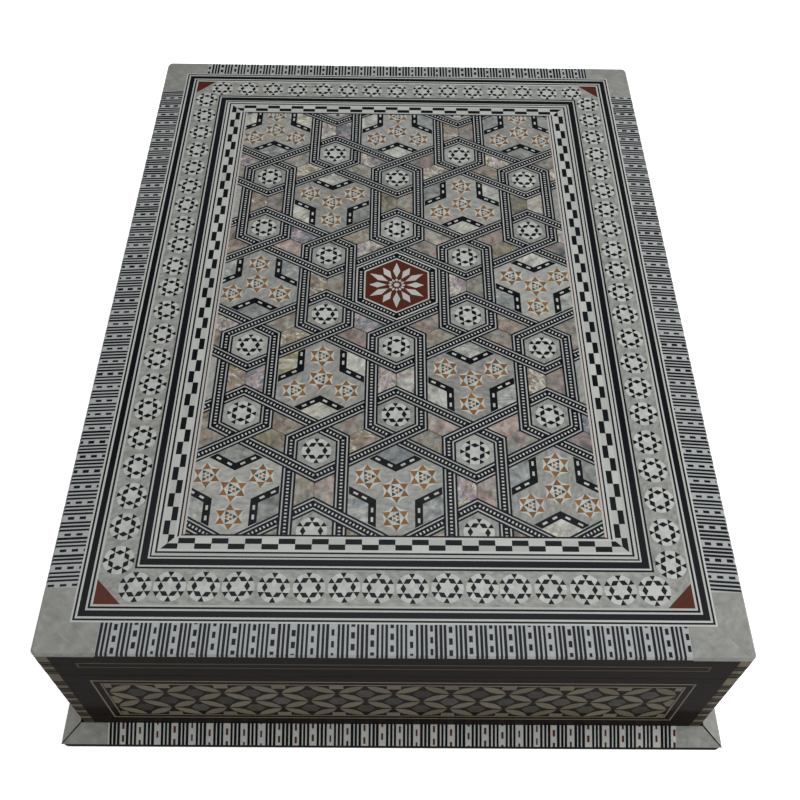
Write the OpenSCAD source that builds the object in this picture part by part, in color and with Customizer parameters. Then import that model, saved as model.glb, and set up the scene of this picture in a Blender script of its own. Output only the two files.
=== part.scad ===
// Inlaid wooden box for a holy book: a body on a low plinth, with a hinged lid.
// All sizes are in millimetres. X runs left to right, Y from front to back, Z up.
// The origin is the middle of the underside, on the table.

/* [Box] */
// Outer width of the body and the lid
box_w = 250; // [200:1:300]
// Outer length of the body and the lid, front to back
box_l = 336; // [260:1:400]
// Height from the table to the top of the closed lid
box_h = 78; // [66:1:110]
// Height of the lid, from its rim to its top
lid_h = 18.5; // [16:0.5:26]
// Gap between the rims of the closed lid and the body
seam_gap = 0.3; // [0.1:0.05:0.6]
// Radius of the upright corners
corner_r = 2.5; // [1.5:0.1:4]
// Chamfer that eases the top edge of the lid
edge_ease = 0.7; // [0.2:0.1:1]

/* [Boards] */
// Thickness of the wall boards and the lid's rails
wall_t = 8; // [7:0.5:12]
// Thickness of the base board
base_t = 6; // [4:0.5:10]
// Thickness of the lid's board
lid_board_t = 5; // [3:0.5:8]
// Thickness of the veneer on the sides
veneer_t = 1.2; // [0.8:0.1:1.5]
// Thickness of the inlay on top of the lid
inlay_t = 1.5; // [1.1:0.1:2]
// Glue line left between neighbouring pieces
glue_gap = 0.05; // [0.02:0.01:0.1]

/* [Plinth] */
// How far the plinth stands out from the body
plinth_out = 7.5; // [5:0.5:14]
// Height of the plinth where it meets the body
plinth_h = 7; // [5:0.5:12]
// Height of the plinth's upright outer edge
plinth_edge = 2.5; // [1.5:0.5:4]
// Radius of the plinth's upright corners
plinth_r = 2.5; // [1:0.5:4]
// Thickness of the felt under the base board
felt_t = 0.8; // [0.5:0.1:1.5]

/* [Side inlay] */
// Width of the striped strips on each side of an upright corner
corner_strip_w = 5.5; // [4.5:0.5:9]

/* [Lid inlay] */
// Width of the striped border along the left and right of the lid
stripe_w = 11.5; // [8:0.5:16]
// Width of the striped border along the front of the lid
stripe_front_w = 12; // [8:0.5:16]
// Width of the striped border along the back of the lid
stripe_back_w = 9.5; // [8:0.5:16]
// Length of a pearl corner patch along the front and back
patch_leg_x = 22; // [17:1:35]
// Length of a pearl corner patch along the left and right
patch_leg_y = 25; // [17:1:35]
// Width of the outer frame of black and white lines
outer_frame_w = 6.8; // [4:0.2:9]
// Width of the border of rosettes along the left and right
star_border_w = 12.5; // [10:0.5:16]
// Width of the border of rosettes along the front
star_front_w = 14; // [10:0.5:16]
// Width of the border of rosettes along the back
star_back_w = 12; // [10:0.5:16]
// Length of the short sides of the red corner triangles
triangle_leg = 9.5; // [5:0.5:10]
// Width of the inner frame of black and white lines
inner_frame_w = 8; // [5:0.5:10]
// Width of the checkered border
checker_w = 4.5; // [3:0.25:6]
// Width of the fine lines beside the field, left and right
side_line_w = 3.8; // [2:0.2:5]
// Width of the fine lines beside the field, front and back
end_line_w = 1.7; // [1:0.1:4]
// Ground left beside the rosettes where their border is narrowest
rosette_margin = 0.4; // [0.4:0.1:2]
// Least gap between the rosettes along the front
front_rosette_gap = 1.2; // [0.2:0.1:4]
// Least gap between the rosettes along the other sides
rosette_gap = 2; // [0.2:0.1:4]

/* [Field] */
// Thickness of the sheet that the field's pieces are glued to
backing_t = 0.5; // [0.3:0.1:0.7]
// Centre to centre of the big hexagons, left to right
cell_pitch = 62.4; // [54:0.2:70]
// Centre to centre of the rows of big hexagons
row_pitch = 53.4; // [46:0.2:60]
// How far the middle of the pattern lies behind the middle of the lid
pattern_back = 5.2; // [0:0.2:8]
// Radius of the small hexagons, to the middle of their straps
small_hex_r = 11.8; // [10:0.1:13]
// Width of the straps
strap_w = 5; // [3:0.25:6]
// Side of the pearl diamonds in the corners of the big hexagons
diamond_side = 9; // [6:0.5:11]
// Width of the frame of the red hexagon in the middle
medallion_frame_w = 3.9; // [2:0.1:6]

/* [Hinges] */
// Distance of the middle of each hinge from the side of the box
hinge_side = 50; // [45:1:80]
// Length of a hinge
hinge_len = 30; // [24:1:40]
// Distance of the hinge pins in from the back face
hinge_inset = 2.6; // [2.4:0.1:3]
// Outer diameter of a hinge knuckle
barrel_d = 4; // [3.4:0.1:4.4]
// Diameter of a hinge pin
pin_d = 2; // [1.5:0.1:2.4]
// Thickness of a hinge leaf
leaf_t = 0.9; // [0.6:0.1:1.1]
// Width of a hinge leaf, from the pin to its inner edge
leaf_w = 6; // [5.4:0.1:6]
// Gap between neighbouring knuckles
knuckle_gap = 0.15; // [0.1:0.05:0.4]
// Radial clearance of a pin in the knuckles that turn on it
pin_clear = 0.05; // [0.02:0.01:0.1]
// How far the lid opens before its back edge stops it, in degrees
open_angle = 100; // [90:1:105]
// Diameter of the hinge screws
screw_d = 2; // [1.6:0.1:2.2]
// Diameter of the screws' countersunk heads
screw_head_d = 3.4; // [3:0.1:3.6]
// Length of the hinge screws
screw_l = 7; // [5:0.5:8]
// Distance between the two screws of a leaf
screw_pitch = 18; // [12:1:20]

/* [Lining] */
// Thickness of the velvet-covered card on the walls
lining_t = 1.6; // [1:0.2:2.4]
// Thickness of the velvet-covered pads on the floor and in the lid
pad_t = 3; // [2:0.5:5]
// How far the wall lining stays below the rim
lining_drop = 1.5; // [0.5:0.5:4]
// Gap around the pads and between the linings
lining_gap = 0.3; // [0.2:0.1:0.6]

/* [Hidden] */
$fn = 48;
// Cutters run past the faces they cut by this much
over = 1;

// Levels
base_top = felt_t + base_t;
seam_z = box_h - lid_h;
body_rim = seam_z - seam_gap / 2;
lid_rim = seam_z + seam_gap / 2;
inlay_z = box_h - inlay_t;
rail_top = inlay_z - lid_board_t;

// Boards behind the veneer
core_w = box_w - 2 * veneer_t;
core_l = box_l - 2 * veneer_t;
core_r = max(corner_r - veneer_t, 0.1);
inner_w = core_w - 2 * wall_t;
inner_l = core_l - 2 * wall_t;
cavity_w = inner_w - 2 * lining_t;
cavity_l = inner_l - 2 * lining_t;

// Plinth
plinth_w = box_w + 2 * plinth_out;
plinth_l = box_l + 2 * plinth_out;

// Outlines of the lid's rings: half their width, then how far they reach to the front and to the back
lid_ring = [box_w / 2, box_l / 2, box_l / 2];
outer_ring = shrunk(lid_ring, stripe_w, stripe_front_w, stripe_back_w);
star_ring = shrunk(outer_ring, outer_frame_w, outer_frame_w, outer_frame_w);
inner_ring = shrunk(star_ring, star_border_w, star_front_w, star_back_w);
checker_ring = shrunk(inner_ring, inner_frame_w, inner_frame_w, inner_frame_w);
line_ring = shrunk(checker_ring, checker_w, checker_w, checker_w);
field_ring = shrunk(line_ring, side_line_w, end_line_w, end_line_w);

// Rosettes of the border
least_border_w = min(star_border_w, star_front_w, star_back_w);
rosette_r = least_border_w / 2 - rosette_margin;
rosette_sides = 12;
// The last rosette of a row stays this far from a corner triangle
triangle_clear = 0.5;
row_end = sqrt(2) * (rosette_r + triangle_clear) + triangle_leg - 1.5 * least_border_w;

// Pattern of the field
tile_t = inlay_t - backing_t;
cell_reach = cell_pitch / (2 * cos(30));
row_close = row_pitch / (cell_pitch * cos(30));
strap_slant = strap_w * tan(30);
corner_gap = glue_gap / 2 / cos(30);
big_tile_r = cell_reach - small_hex_r - strap_slant - corner_gap;
small_tile_r = small_hex_r - strap_slant - corner_gap;
medallion_r = big_tile_r - medallion_frame_w / cos(30);
cell_rows = ceil((max(field_ring[1], field_ring[2]) + pattern_back) / row_pitch);
cell_columns = ceil(field_ring[0] / cell_pitch);
// Smaller offcuts at the edge of the field are left out, in square millimetres
least_offcut = 0.5;
// Big hexagons by row from the back: T has a star to the back, B to the front, M is the medallion
CELL_KINDS = ["TTT", "BT", "TMB", "TB", "BBT"];

// Hinges
hinge_x = box_w / 2 - hinge_side;
axis_y = box_l / 2 - hinge_inset;
barrel_r = barrel_d / 2;
// Each back edge is bevelled by half the opening and a little more
bevel_margin = 0.25;
bevel_angle = open_angle / 2 + bevel_margin;
// Wood stays this far from a knuckle
barrel_clear = 0.35;
mortise_clear = 0.1;
screw_clear = 0.02;
knuckle_l = hinge_len / 3 - knuckle_gap;
leaf_edge_gap = 0.5;
// The screws sit midway between the barrel and the leaf's inner edge
screw_y = axis_y - (barrel_r + leaf_w) / 2;
pin_proud = 0.5;
pin_dome = 0.3;

// Colours
walnut = "#3b2a20";
core_wood = "#b58a5c";
stripe_grey = "#9c9c98";
pearl = "#c9c6bc";
black_inlay = "#23262b";
ground = "#bdb9ad";
red_wood = "#7a2d1e";
brass = "#b08d3f";
velvet = "#6e1320";
felt = "#2f4a34";

// Sides, each by its direction out of the box
FRONT = [0, -1];
RIGHT = [1, 0];
BACK = [0, 1];
LEFT = [-1, 0];
SIDES = [FRONT, RIGHT, BACK, LEFT];

// True for the front and the back
function is_end(side) = side.x == 0;

// Angle that turns the front to a side
function turn(side) = 90 + atan2(side.y, side.x);

// A side's run along the box and the span across it, for a ring of outer size w by l
function along(side, w, l) = is_end(side) ? w : l;
function across(side, w, l) = is_end(side) ? l : w;

// Direction along a side, to the right for one who faces it
function ahead(side) = [-side.y, side.x];

// A ring's outline made smaller
function shrunk(ring, side, front, back) = [ring[0] - side, ring[1] - front, ring[2] - back];

function grown(ring, by) = shrunk(ring, -by, -by, -by);

// Corner of a ring at the left (-1) or right (1) end of a side
function ring_end(ring, side, end) =
    let (out = side + end * ahead(side))
        [out.x * ring[0], out.y < 0 ? -ring[1] : ring[2]];

// Widths of the striped border and of the border of rosettes
function stripe_band(side) = side == FRONT ? stripe_front_w : side == BACK ? stripe_back_w : stripe_w;
function star_band(side) = side == FRONT ? star_front_w : side == BACK ? star_back_w : star_border_w;

function direction(angle) = [cos(angle), sin(angle)];

function sum(values, from = 0) = from < len(values) ? values[from] + sum(values, from + 1) : 0;

function area(points) =
    abs(sum([for (i = [0 : len(points) - 1]) cross(points[i], points[(i + 1) % len(points)])])) / 2;

// Part of an outline that lies on one side of a straight edge: axis 0 is X and 1 is Y
function cut(points, axis, sign, limit) = [
    for (i = [0 : 1 : len(points) - 1])
        let (
            p = points[i],
            q = points[(i + 1) % len(points)],
            p_past = sign * p[axis] - limit,
            q_past = sign * q[axis] - limit
        )
            each concat(
                p_past <= 0 ? [p] : [],
                p_past * q_past < 0 ? [p + (q - p) * p_past / (p_past - q_past)] : []
            )
];

// Part of an outline that lies in the field
function in_field(points) =
    cut(cut(cut(cut(points, 0, 1, field_ring[0]), 0, -1, field_ring[0]), 1, 1, field_ring[2]), 1, -1, field_ring[1]);

// Place in the field of a point of the regular pattern
function in_pattern(p) = [p.x, pattern_back + p.y * row_close];

function kind(column, row) =
    let (kinds = CELL_KINDS[(len(CELL_KINDS) - 1) / 2 - row])
        is_undef(kinds) || column < -1 || column + 1 >= len(kinds) ? "plain" : kinds[column + 1];

// Centre of a big hexagon in the regular pattern
function cell(column, row) = [(column + (row % 2 == 0 ? 0 : 0.5)) * cell_pitch, row * cell_pitch * cos(30)];

function hexagon_points(centre, r) = [for (k = [0 : 5]) centre + r * direction(30 + 60 * k)];

// Straight piece of strap from s0 to s1 along its heading, with the slants of its ends
function strap_points(corner, heading, s0, slant0, s1, slant1) =
    let (
        ahead = direction(heading),
        left = direction(heading + 90),
        half = (strap_w - glue_gap) / 2
    )
        [
            corner + (s0 + corner_gap - slant0 * half) * ahead - half * left,
            corner + (s1 - corner_gap - slant1 * half) * ahead - half * left,
            corner + (s1 - corner_gap + slant1 * half) * ahead + half * left,
            corner + (s0 + corner_gap + slant0 * half) * ahead + half * left
        ];

// Shell on the left of the line from a small hexagon to the next
function bow_tie_points(centre, heading) =
    let (
        ahead = direction(heading),
        left = direction(heading + 90),
        waist = small_hex_r + strap_slant + corner_gap,
        t0 = glue_gap / 2,
        t1 = small_hex_r * cos(30) - strap_w / 2 - glue_gap / 2
    )
        [
            centre + (waist - t0 * tan(30)) * ahead + t0 * left,
            centre + (cell_reach - waist + t0 * tan(30)) * ahead + t0 * left,
            centre + (cell_reach - waist + t1 * tan(30)) * ahead + t1 * left,
            centre + (waist - t1 * tan(30)) * ahead + t1 * left
        ];

// Shell diamond in the corner of a big hexagon at that angle
function diamond_points(centre, angle, side) =
    let (corner = centre + big_tile_r * direction(angle))
        [
            corner,
            corner + side * direction(angle + 120),
            corner + side * direction(angle + 180),
            corner + side * direction(angle + 240)
        ];

// Angle of the first diamond of a big hexagon
function first_diamond(cell_kind) = cell_kind == "T" ? 30 : 90;

// Big tile between its three diamonds
function star_tile_points(centre, first) = [
    for (k = [0 : 2])
        let (
            angle = first + 120 * k,
            room = diamond_points(centre, angle, diamond_side + 2 * corner_gap)
        )
            each [room[3], room[2], room[1], centre + big_tile_r * direction(angle + 60)]
];

// Places of the rosettes along a side of the border
function rosette_places(side) =
    let (
        inset = max((is_end(side) ? 0.17 : 0.6) * rosette_r, row_end),
        first = ring_end(inner_ring, side, -1) + inset * ahead(side) + star_band(side) / 2 * side,
        run = norm(ring_end(inner_ring, side, 1) - ring_end(inner_ring, side, -1)) - 2 * inset,
        pitch = 2 * rosette_r + (side == FRONT ? front_rosette_gap : rosette_gap),
        gaps = floor(run / pitch)
    )
        [for (k = [0 : gaps]) first + run * k / gaps * ahead(side)];

// Rectangle with round corners, about the origin
module rounded_plan(w, l, r) {
    square([w - 2 * r, l], center = true);
    square([w, l - 2 * r], center = true);
    for (x = [-1, 1], y = [-1, 1])
        translate([x * (w / 2 - r), y * (l / 2 - r)])
            circle(r = r);
}

// One side of a mitred ring of outer size w by l and the same width all round
module ring_side(side, w, l, band) {
    run = along(side, w, l);
    span = across(side, w, l);
    rotate(turn(side))
        polygon([
            [-run / 2 + glue_gap, -span / 2],
            [run / 2 - glue_gap, -span / 2],
            [run / 2 - band - glue_gap, -span / 2 + band],
            [-run / 2 + band + glue_gap, -span / 2 + band]
        ]);
}

// Moves what is drawn on the plan to its height on the lid's board
module on_lid() {
    translate([0, 0, inlay_z])
        children();
}

// One side of a mitred frame on the lid, from the outline of its ring to that of the next
module frame_side(side, outer, inner) {
    mitre = glue_gap * ahead(side);
    edge = grown(inner, glue_gap);
    polygon([
        ring_end(outer, side, -1) + mitre,
        ring_end(outer, side, 1) - mitre,
        ring_end(edge, side, 1) - mitre,
        ring_end(edge, side, -1) + mitre
    ]);
}

module inlay_ring(outer, inner) {
    on_lid()
        for (side = SIDES)
            linear_extrude(inlay_t)
                frame_side(side, outer, inner);
}

module ring_plan(ring) {
    polygon([for (side = SIDES) ring_end(ring, side, -1)]);
}

// Moves what is drawn along the front face to another side of the box
module on_side(side) {
    rotate(turn(side))
        translate([0, -across(side, box_w, box_l) / 2, 0])
            children();
}

// Wedge behind the hinge pins that bevels a back edge, below or above the seam
module back_bevel(up) {
    reach = hinge_inset + over;
    translate([0, axis_y, seam_z])
        mirror([0, 0, up ? 0 : 1])
            rotate([90, 0, 90])
                linear_extrude(box_w + 2 * over, center = true)
                    polygon([[0, 0], [reach, 0], [reach, reach * tan(bevel_angle)]]);
}

module at_hinges() {
    for (x = [-hinge_x, hinge_x])
        translate([x, 0, 0])
            children();
}

// Cylinder along X on the hinge axis, centred at x = 0
module on_axis(r, l) {
    translate([0, axis_y, seam_z])
        rotate([0, 90, 0])
            cylinder(r = r, h = l, center = true);
}

// Room for the barrels of both hinges
module barrel_room() {
    at_hinges()
        on_axis(barrel_r + barrel_clear, hinge_len + 2 * leaf_edge_gap);
}

// Pocket for a leaf, below or above the seam
module leaf_mortise(up) {
    depth = leaf_t + seam_gap / 2;
    at_hinges()
        translate([
            -hinge_len / 2 - mortise_clear,
            axis_y - leaf_w - mortise_clear,
            up ? seam_z : seam_z - depth
        ])
            cube([hinge_len + 2 * mortise_clear, leaf_w + mortise_clear, depth]);
}

module at_screws() {
    at_hinges()
        for (x = [-screw_pitch / 2, screw_pitch / 2])
            translate([x, screw_y, 0])
                children();
}

// Pilot holes, below or above the seam
module screw_holes(up) {
    at_screws()
        translate([0, 0, seam_z])
            mirror([0, 0, up ? 0 : 1])
                cylinder(d = screw_d + 2 * screw_clear, h = seam_gap / 2 + screw_l + screw_clear);
}

// Countersunk screw with its head at z = 0 and its point downwards
module screw() {
    cylinder(d1 = screw_d, d2 = screw_head_d, h = leaf_t);
    translate([0, 0, leaf_t - screw_l])
        cylinder(d = screw_d, h = screw_l);
}

module wall_plan(side) {
    intersection() {
        ring_side(side, core_w, core_l, wall_t);
        rounded_plan(core_w, core_l, core_r);
    }
}

module wall_board(side) {
    translate([0, 0, base_top])
        linear_extrude(body_rim - base_top)
            wall_plan(side);
}

module rail(side) {
    translate([0, 0, lid_rim])
        linear_extrude(rail_top - lid_rim)
            wall_plan(side);
}

// Veneer on one side between the corner strips, from z0 to z1
module face_veneer(side, z0, z1) {
    run = along(side, box_w, box_l) - 2 * corner_strip_w - 2 * glue_gap;
    on_side(side)
        translate([-run / 2, 0, z0])
            cube([run, veneer_t, z1 - z0]);
}

// Angled strips that wrap the four upright corners, from z0 to z1
module corner_strips(z0, z1) {
    translate([0, 0, z0])
        linear_extrude(z1 - z0)
            difference() {
                intersection() {
                    rounded_plan(box_w, box_l, corner_r);
                    for (x = [-1, 1], y = [-1, 1])
                        translate([x * (box_w - corner_strip_w) / 2, y * (box_l - corner_strip_w) / 2])
                            square(corner_strip_w, center = true);
                }
                rounded_plan(core_w, core_l, core_r);
            }
}

// Mitred bar with a sloping top along one side of the foot
module plinth_bar(side) {
    run = along(side, plinth_w, plinth_l);
    color(stripe_grey)
        intersection() {
            on_side(side)
                rotate([90, 0, 90])
                    linear_extrude(run, center = true)
                        polygon([[0, 0], [-plinth_out, 0], [-plinth_out, plinth_edge], [0, plinth_h]]);
            linear_extrude(plinth_h)
                intersection() {
                    ring_side(side, plinth_w, plinth_l, plinth_out);
                    rounded_plan(plinth_w, plinth_l, plinth_r);
                }
        }
}

// Velvet-covered card inside one wall, from z0 to z1
module wall_lining(side, z0, z1) {
    translate([0, 0, z0])
        linear_extrude(z1 - z0)
            ring_side(side, inner_w, inner_l, lining_t);
}

// Pad that fits between the linings
module pad(z0) {
    translate([0, 0, z0])
        linear_extrude(pad_t)
            square([cavity_w - 2 * lining_gap, cavity_l - 2 * lining_gap], center = true);
}

// Chamfer around the top edge of the lid
module edge_ease_cut() {
    for (side = SIDES)
        on_side(side)
            translate([0, 0, box_h])
                rotate([90, 0, 90])
                    linear_extrude(along(side, box_w, box_l) - 2 * corner_r, center = true)
                        polygon([[edge_ease, 0], [-over, 0], [-over, -edge_ease - over]]);
    for (i = [0 : 3])
        rotate(180 * floor(i / 2))
            mirror([i % 2, 0, 0])
                translate([box_w / 2 - corner_r, box_l / 2 - corner_r, box_h])
                    rotate_extrude(angle = 90)
                        polygon([
                            [corner_r - edge_ease, 0],
                            [corner_r + over, 0],
                            [corner_r + over, -edge_ease - over]
                        ]);
}

module stripe_border(side) {
    leg = is_end(side) ? patch_leg_x : patch_leg_y;
    run = along(side, box_w, box_l) - 2 * leg - 2 * glue_gap;
    color(stripe_grey)
        difference() {
            on_side(side)
                translate([-run / 2, 0, inlay_z])
                    cube([run, stripe_band(side) - glue_gap, inlay_t]);
            edge_ease_cut();
        }
}

// Angled patch of pearl at the corner of the lid given by the signs x and y
module pearl_corner(x, y) {
    color(pearl)
        difference() {
            translate([0, 0, inlay_z])
                linear_extrude(inlay_t)
                    difference() {
                        intersection() {
                            rounded_plan(box_w, box_l, corner_r);
                            translate([x * (box_w - patch_leg_x) / 2, y * (box_l - patch_leg_y) / 2])
                                square([patch_leg_x, patch_leg_y], center = true);
                        }
                        ring_plan(grown(outer_ring, glue_gap));
                    }
            edge_ease_cut();
        }
}

// Plan of the four corner triangles, grown by a gap
module triangle_plan(gap) {
    for (side = SIDES) {
        corner = ring_end(grown(star_ring, -glue_gap), side, 1);
        out = side + ahead(side);
        leg = triangle_leg + gap;
        polygon([
            corner + gap * out,
            corner + [-leg * out.x, gap * out.y],
            corner + [gap * out.x, -leg * out.y]
        ]);
    }
}

// Piece of the field, cut to the field's edge and glued to the backing
module field_piece(points) {
    shown = in_field([for (p = points) in_pattern(p)]);
    if (len(shown) > 2 && area(shown) > least_offcut)
        translate([0, 0, backing_t])
            linear_extrude(tile_t)
                polygon(shown);
}

// Plan of the rosettes, grown by a gap
module rosette_plan(gap) {
    for (side = SIDES)
        for (place = rosette_places(side))
            translate(place)
                circle(r = rosette_r + gap, $fn = rosette_sides);
}

// Leaf with its knuckles, drawn for the lower half of a hinge at x = 0.
// knuckles lists the places of its knuckles, counted from the middle one
module leaf(knuckles, bore_r) {
    pitch = hinge_len / 3;
    others = [for (k = [-1 : 1]) if (len(search(k, knuckles)) == 0) k];
    difference() {
        union() {
            translate([-hinge_len / 2, axis_y - leaf_w, seam_z - seam_gap / 2 - leaf_t])
                cube([hinge_len, leaf_w, leaf_t]);
            for (k = knuckles)
                translate([k * pitch, 0, 0])
                    on_axis(barrel_r, knuckle_l);
        }
        on_axis(bore_r, hinge_len + 2 * over);
        for (k = others)
            translate([k * pitch, 0, 0])
                on_axis(barrel_r + barrel_clear, pitch + knuckle_gap);
        for (x = [-screw_pitch / 2, screw_pitch / 2])
            translate([x, screw_y, seam_z - seam_gap / 2 - leaf_t])
                cylinder(d1 = screw_d + 2 * screw_clear, d2 = screw_head_d + 2 * screw_clear, h = leaf_t);
    }
}

module lower_leaf(x) {
    color(brass)
        translate([x, 0, 0])
            leaf([-1, 1], pin_d / 2 + screw_clear);
}

module upper_leaf(x) {
    color(brass)
        translate([x, 0, 2 * seam_z])
            mirror([0, 0, 1])
                leaf([0], pin_d / 2 + pin_clear);
}

// Pin with eased ends
module hinge_pin(x) {
    l = hinge_len / 2 + pin_proud;
    r = pin_d / 2;
    color(brass)
        translate([x, axis_y, seam_z])
            rotate([0, 90, 0])
                rotate_extrude()
                    polygon([[0, -l], [r - pin_dome, -l], [r, -l + pin_dome], [r, l - pin_dome], [r - pin_dome, l], [0, l]]);
}

module base_board() {
    color(core_wood)
        translate([0, 0, felt_t])
            linear_extrude(base_t)
                square([box_w, box_l], center = true);
}

module base_felt() {
    color(felt)
        linear_extrude(felt_t)
            square([box_w - 2 * lining_gap, box_l - 2 * lining_gap], center = true);
}

module front_wall() {
    color(core_wood)
        wall_board(FRONT);
}

module right_wall() {
    color(core_wood)
        difference() {
            wall_board(RIGHT);
            back_bevel(false);
        }
}

module back_wall() {
    color(core_wood)
        difference() {
            wall_board(BACK);
            back_bevel(false);
            barrel_room();
            leaf_mortise(false);
            screw_holes(false);
        }
}

module left_wall() {
    color(core_wood)
        difference() {
            wall_board(LEFT);
            back_bevel(false);
        }
}

module plinth_front() { plinth_bar(FRONT); }

module plinth_right() { plinth_bar(RIGHT); }

module plinth_back() { plinth_bar(BACK); }

module plinth_left() { plinth_bar(LEFT); }

module front_inlay_panel() {
    color(walnut)
        face_veneer(FRONT, base_top, body_rim);
}

module right_inlay_panel() {
    color(walnut)
        face_veneer(RIGHT, base_top, body_rim);
}

module back_inlay_panel() {
    color(walnut)
        difference() {
            face_veneer(BACK, base_top, body_rim);
            back_bevel(false);
            barrel_room();
        }
}

module left_inlay_panel() {
    color(walnut)
        face_veneer(LEFT, base_top, body_rim);
}

module body_corner_strips() {
    color(stripe_grey)
        difference() {
            corner_strips(base_top, body_rim);
            back_bevel(false);
        }
}

module floor_pad() {
    color(velvet)
        pad(base_top);
}

module front_lining() {
    color(velvet)
        wall_lining(FRONT, base_top, body_rim - lining_drop);
}

module right_lining() {
    color(velvet)
        wall_lining(RIGHT, base_top, body_rim - lining_drop);
}

module back_lining() {
    color(velvet)
        wall_lining(BACK, base_top, body_rim - lining_drop);
}

module left_lining() {
    color(velvet)
        wall_lining(LEFT, base_top, body_rim - lining_drop);
}

module left_lower_leaf() { lower_leaf(-hinge_x); }

module right_lower_leaf() { lower_leaf(hinge_x); }

module left_hinge_pin() { hinge_pin(-hinge_x); }

module right_hinge_pin() { hinge_pin(hinge_x); }

module lower_hinge_screws() {
    color(brass)
        at_screws()
            translate([0, 0, body_rim - leaf_t])
                screw();
}

module lid_board() {
    color(core_wood)
        translate([0, 0, rail_top])
            linear_extrude(lid_board_t)
                rounded_plan(core_w, core_l, core_r);
}

module lid_front_rail() {
    color(core_wood)
        rail(FRONT);
}

module lid_right_rail() {
    color(core_wood)
        difference() {
            rail(RIGHT);
            back_bevel(true);
        }
}

module lid_back_rail() {
    color(core_wood)
        difference() {
            rail(BACK);
            back_bevel(true);
            barrel_room();
            leaf_mortise(true);
            screw_holes(true);
        }
}

module lid_left_rail() {
    color(core_wood)
        difference() {
            rail(LEFT);
            back_bevel(true);
        }
}

module lid_front_veneer() {
    color(walnut)
        face_veneer(FRONT, lid_rim, inlay_z);
}

module lid_right_veneer() {
    color(walnut)
        face_veneer(RIGHT, lid_rim, inlay_z);
}

module lid_back_veneer() {
    color(walnut)
        difference() {
            face_veneer(BACK, lid_rim, inlay_z);
            back_bevel(true);
            barrel_room();
        }
}

module lid_left_veneer() {
    color(walnut)
        face_veneer(LEFT, lid_rim, inlay_z);
}

module lid_corner_strips() {
    color(stripe_grey)
        difference() {
            corner_strips(lid_rim, inlay_z);
            back_bevel(true);
        }
}

module stripe_border_front() { stripe_border(FRONT); }

module stripe_border_right() { stripe_border(RIGHT); }

module stripe_border_back() { stripe_border(BACK); }

module stripe_border_left() { stripe_border(LEFT); }

module pearl_corner_front_left() { pearl_corner(-1, -1); }

module pearl_corner_front_right() { pearl_corner(1, -1); }

module pearl_corner_back_right() { pearl_corner(1, 1); }

module pearl_corner_back_left() { pearl_corner(-1, 1); }

module outer_frame() {
    color(black_inlay)
        inlay_ring(outer_ring, star_ring);
}

module star_border() {
    color(ground)
        on_lid()
            for (side = SIDES)
                linear_extrude(inlay_t)
                    difference() {
                        frame_side(side, star_ring, inner_ring);
                        triangle_plan(glue_gap);
                        rosette_plan(glue_gap);
                    }
}

module corner_triangles() {
    color(red_wood)
        on_lid()
            linear_extrude(inlay_t)
                triangle_plan(0);
}

module rosette_plates() {
    color(pearl)
        on_lid()
            linear_extrude(inlay_t)
                rosette_plan(0);
}

module inner_frame() {
    color(black_inlay)
        inlay_ring(inner_ring, checker_ring);
}

module checker_border() {
    color(stripe_grey)
        inlay_ring(checker_ring, line_ring);
}

module line_frame() {
    color(black_inlay)
        inlay_ring(line_ring, field_ring);
}

// Sheet that carries the pieces of the field
module field_panel() {
    color(ground)
        on_lid()
            linear_extrude(backing_t)
                ring_plan(field_ring);
}

// Runs its children once for each small hexagon, with its centre and its first heading
module at_small_hexagons() {
    for (row = [-cell_rows : cell_rows], column = [-cell_columns : cell_columns])
        for ($heading = [90, 270]) {
            $centre = cell(column, row) + cell_reach * direction($heading);
            children();
        }
}

// Interlaced straps: each runs over the next that it meets and then under the one after
module field_straps() {
    color(black_inlay)
        on_lid()
            at_small_hexagons()
                for (heading = [$heading, $heading + 120, $heading + 240]) {
                    corner = $centre + small_hex_r * direction(heading + 120);
                    over_end = cell_reach - strap_slant;
                    under_start = cell_reach + strap_slant;
                    under_end = cell_reach + small_hex_r;
                    field_piece(strap_points(corner, heading, 0, -tan(30), over_end, tan(30)));
                    field_piece(strap_points(corner, heading, under_start, tan(30), under_end, tan(30)));
                }
}

// Hexagonal tiles between the straps, and the frame of the medallion
module field_tiles() {
    color(ground)
        on_lid() {
            at_small_hexagons()
                field_piece(hexagon_points($centre, small_tile_r));
            for (row = [-cell_rows : cell_rows], column = [-cell_columns : cell_columns]) {
                cell_kind = kind(column, row);
                if (cell_kind == "plain")
                    field_piece(hexagon_points(cell(column, row), big_tile_r));
                else if (cell_kind != "M")
                    field_piece(star_tile_points(cell(column, row), first_diamond(cell_kind)));
            }
            difference() {
                field_piece(hexagon_points([0, 0], big_tile_r));
                linear_extrude(inlay_t + over)
                    polygon([for (p = hexagon_points([0, 0], medallion_r + 2 * corner_gap)) in_pattern(p)]);
            }
        }
}

// Shell between the straps, and in the corners of the big hexagons
module field_shell() {
    color(pearl)
        on_lid() {
            at_small_hexagons()
                for (heading = [$heading, $heading + 120, $heading + 240])
                    field_piece(bow_tie_points($centre, heading));
            for (row = [-cell_rows : cell_rows], column = [-cell_columns : cell_columns]) {
                cell_kind = kind(column, row);
                if (cell_kind == "T" || cell_kind == "B")
                    for (k = [0 : 2])
                        field_piece(diamond_points(
                            cell(column, row), first_diamond(cell_kind) + 120 * k, diamond_side
                        ));
            }
        }
}

module centre_medallion() {
    color(red_wood)
        on_lid()
            field_piece(hexagon_points([0, 0], medallion_r));
}

module lid_pad() {
    color(velvet)
        pad(rail_top - pad_t);
}

module lid_wall_linings() {
    color(velvet)
        for (side = SIDES)
            wall_lining(side, lid_rim + lining_drop, rail_top);
}

module left_upper_leaf() { upper_leaf(-hinge_x); }

module right_upper_leaf() { upper_leaf(hinge_x); }

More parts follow.
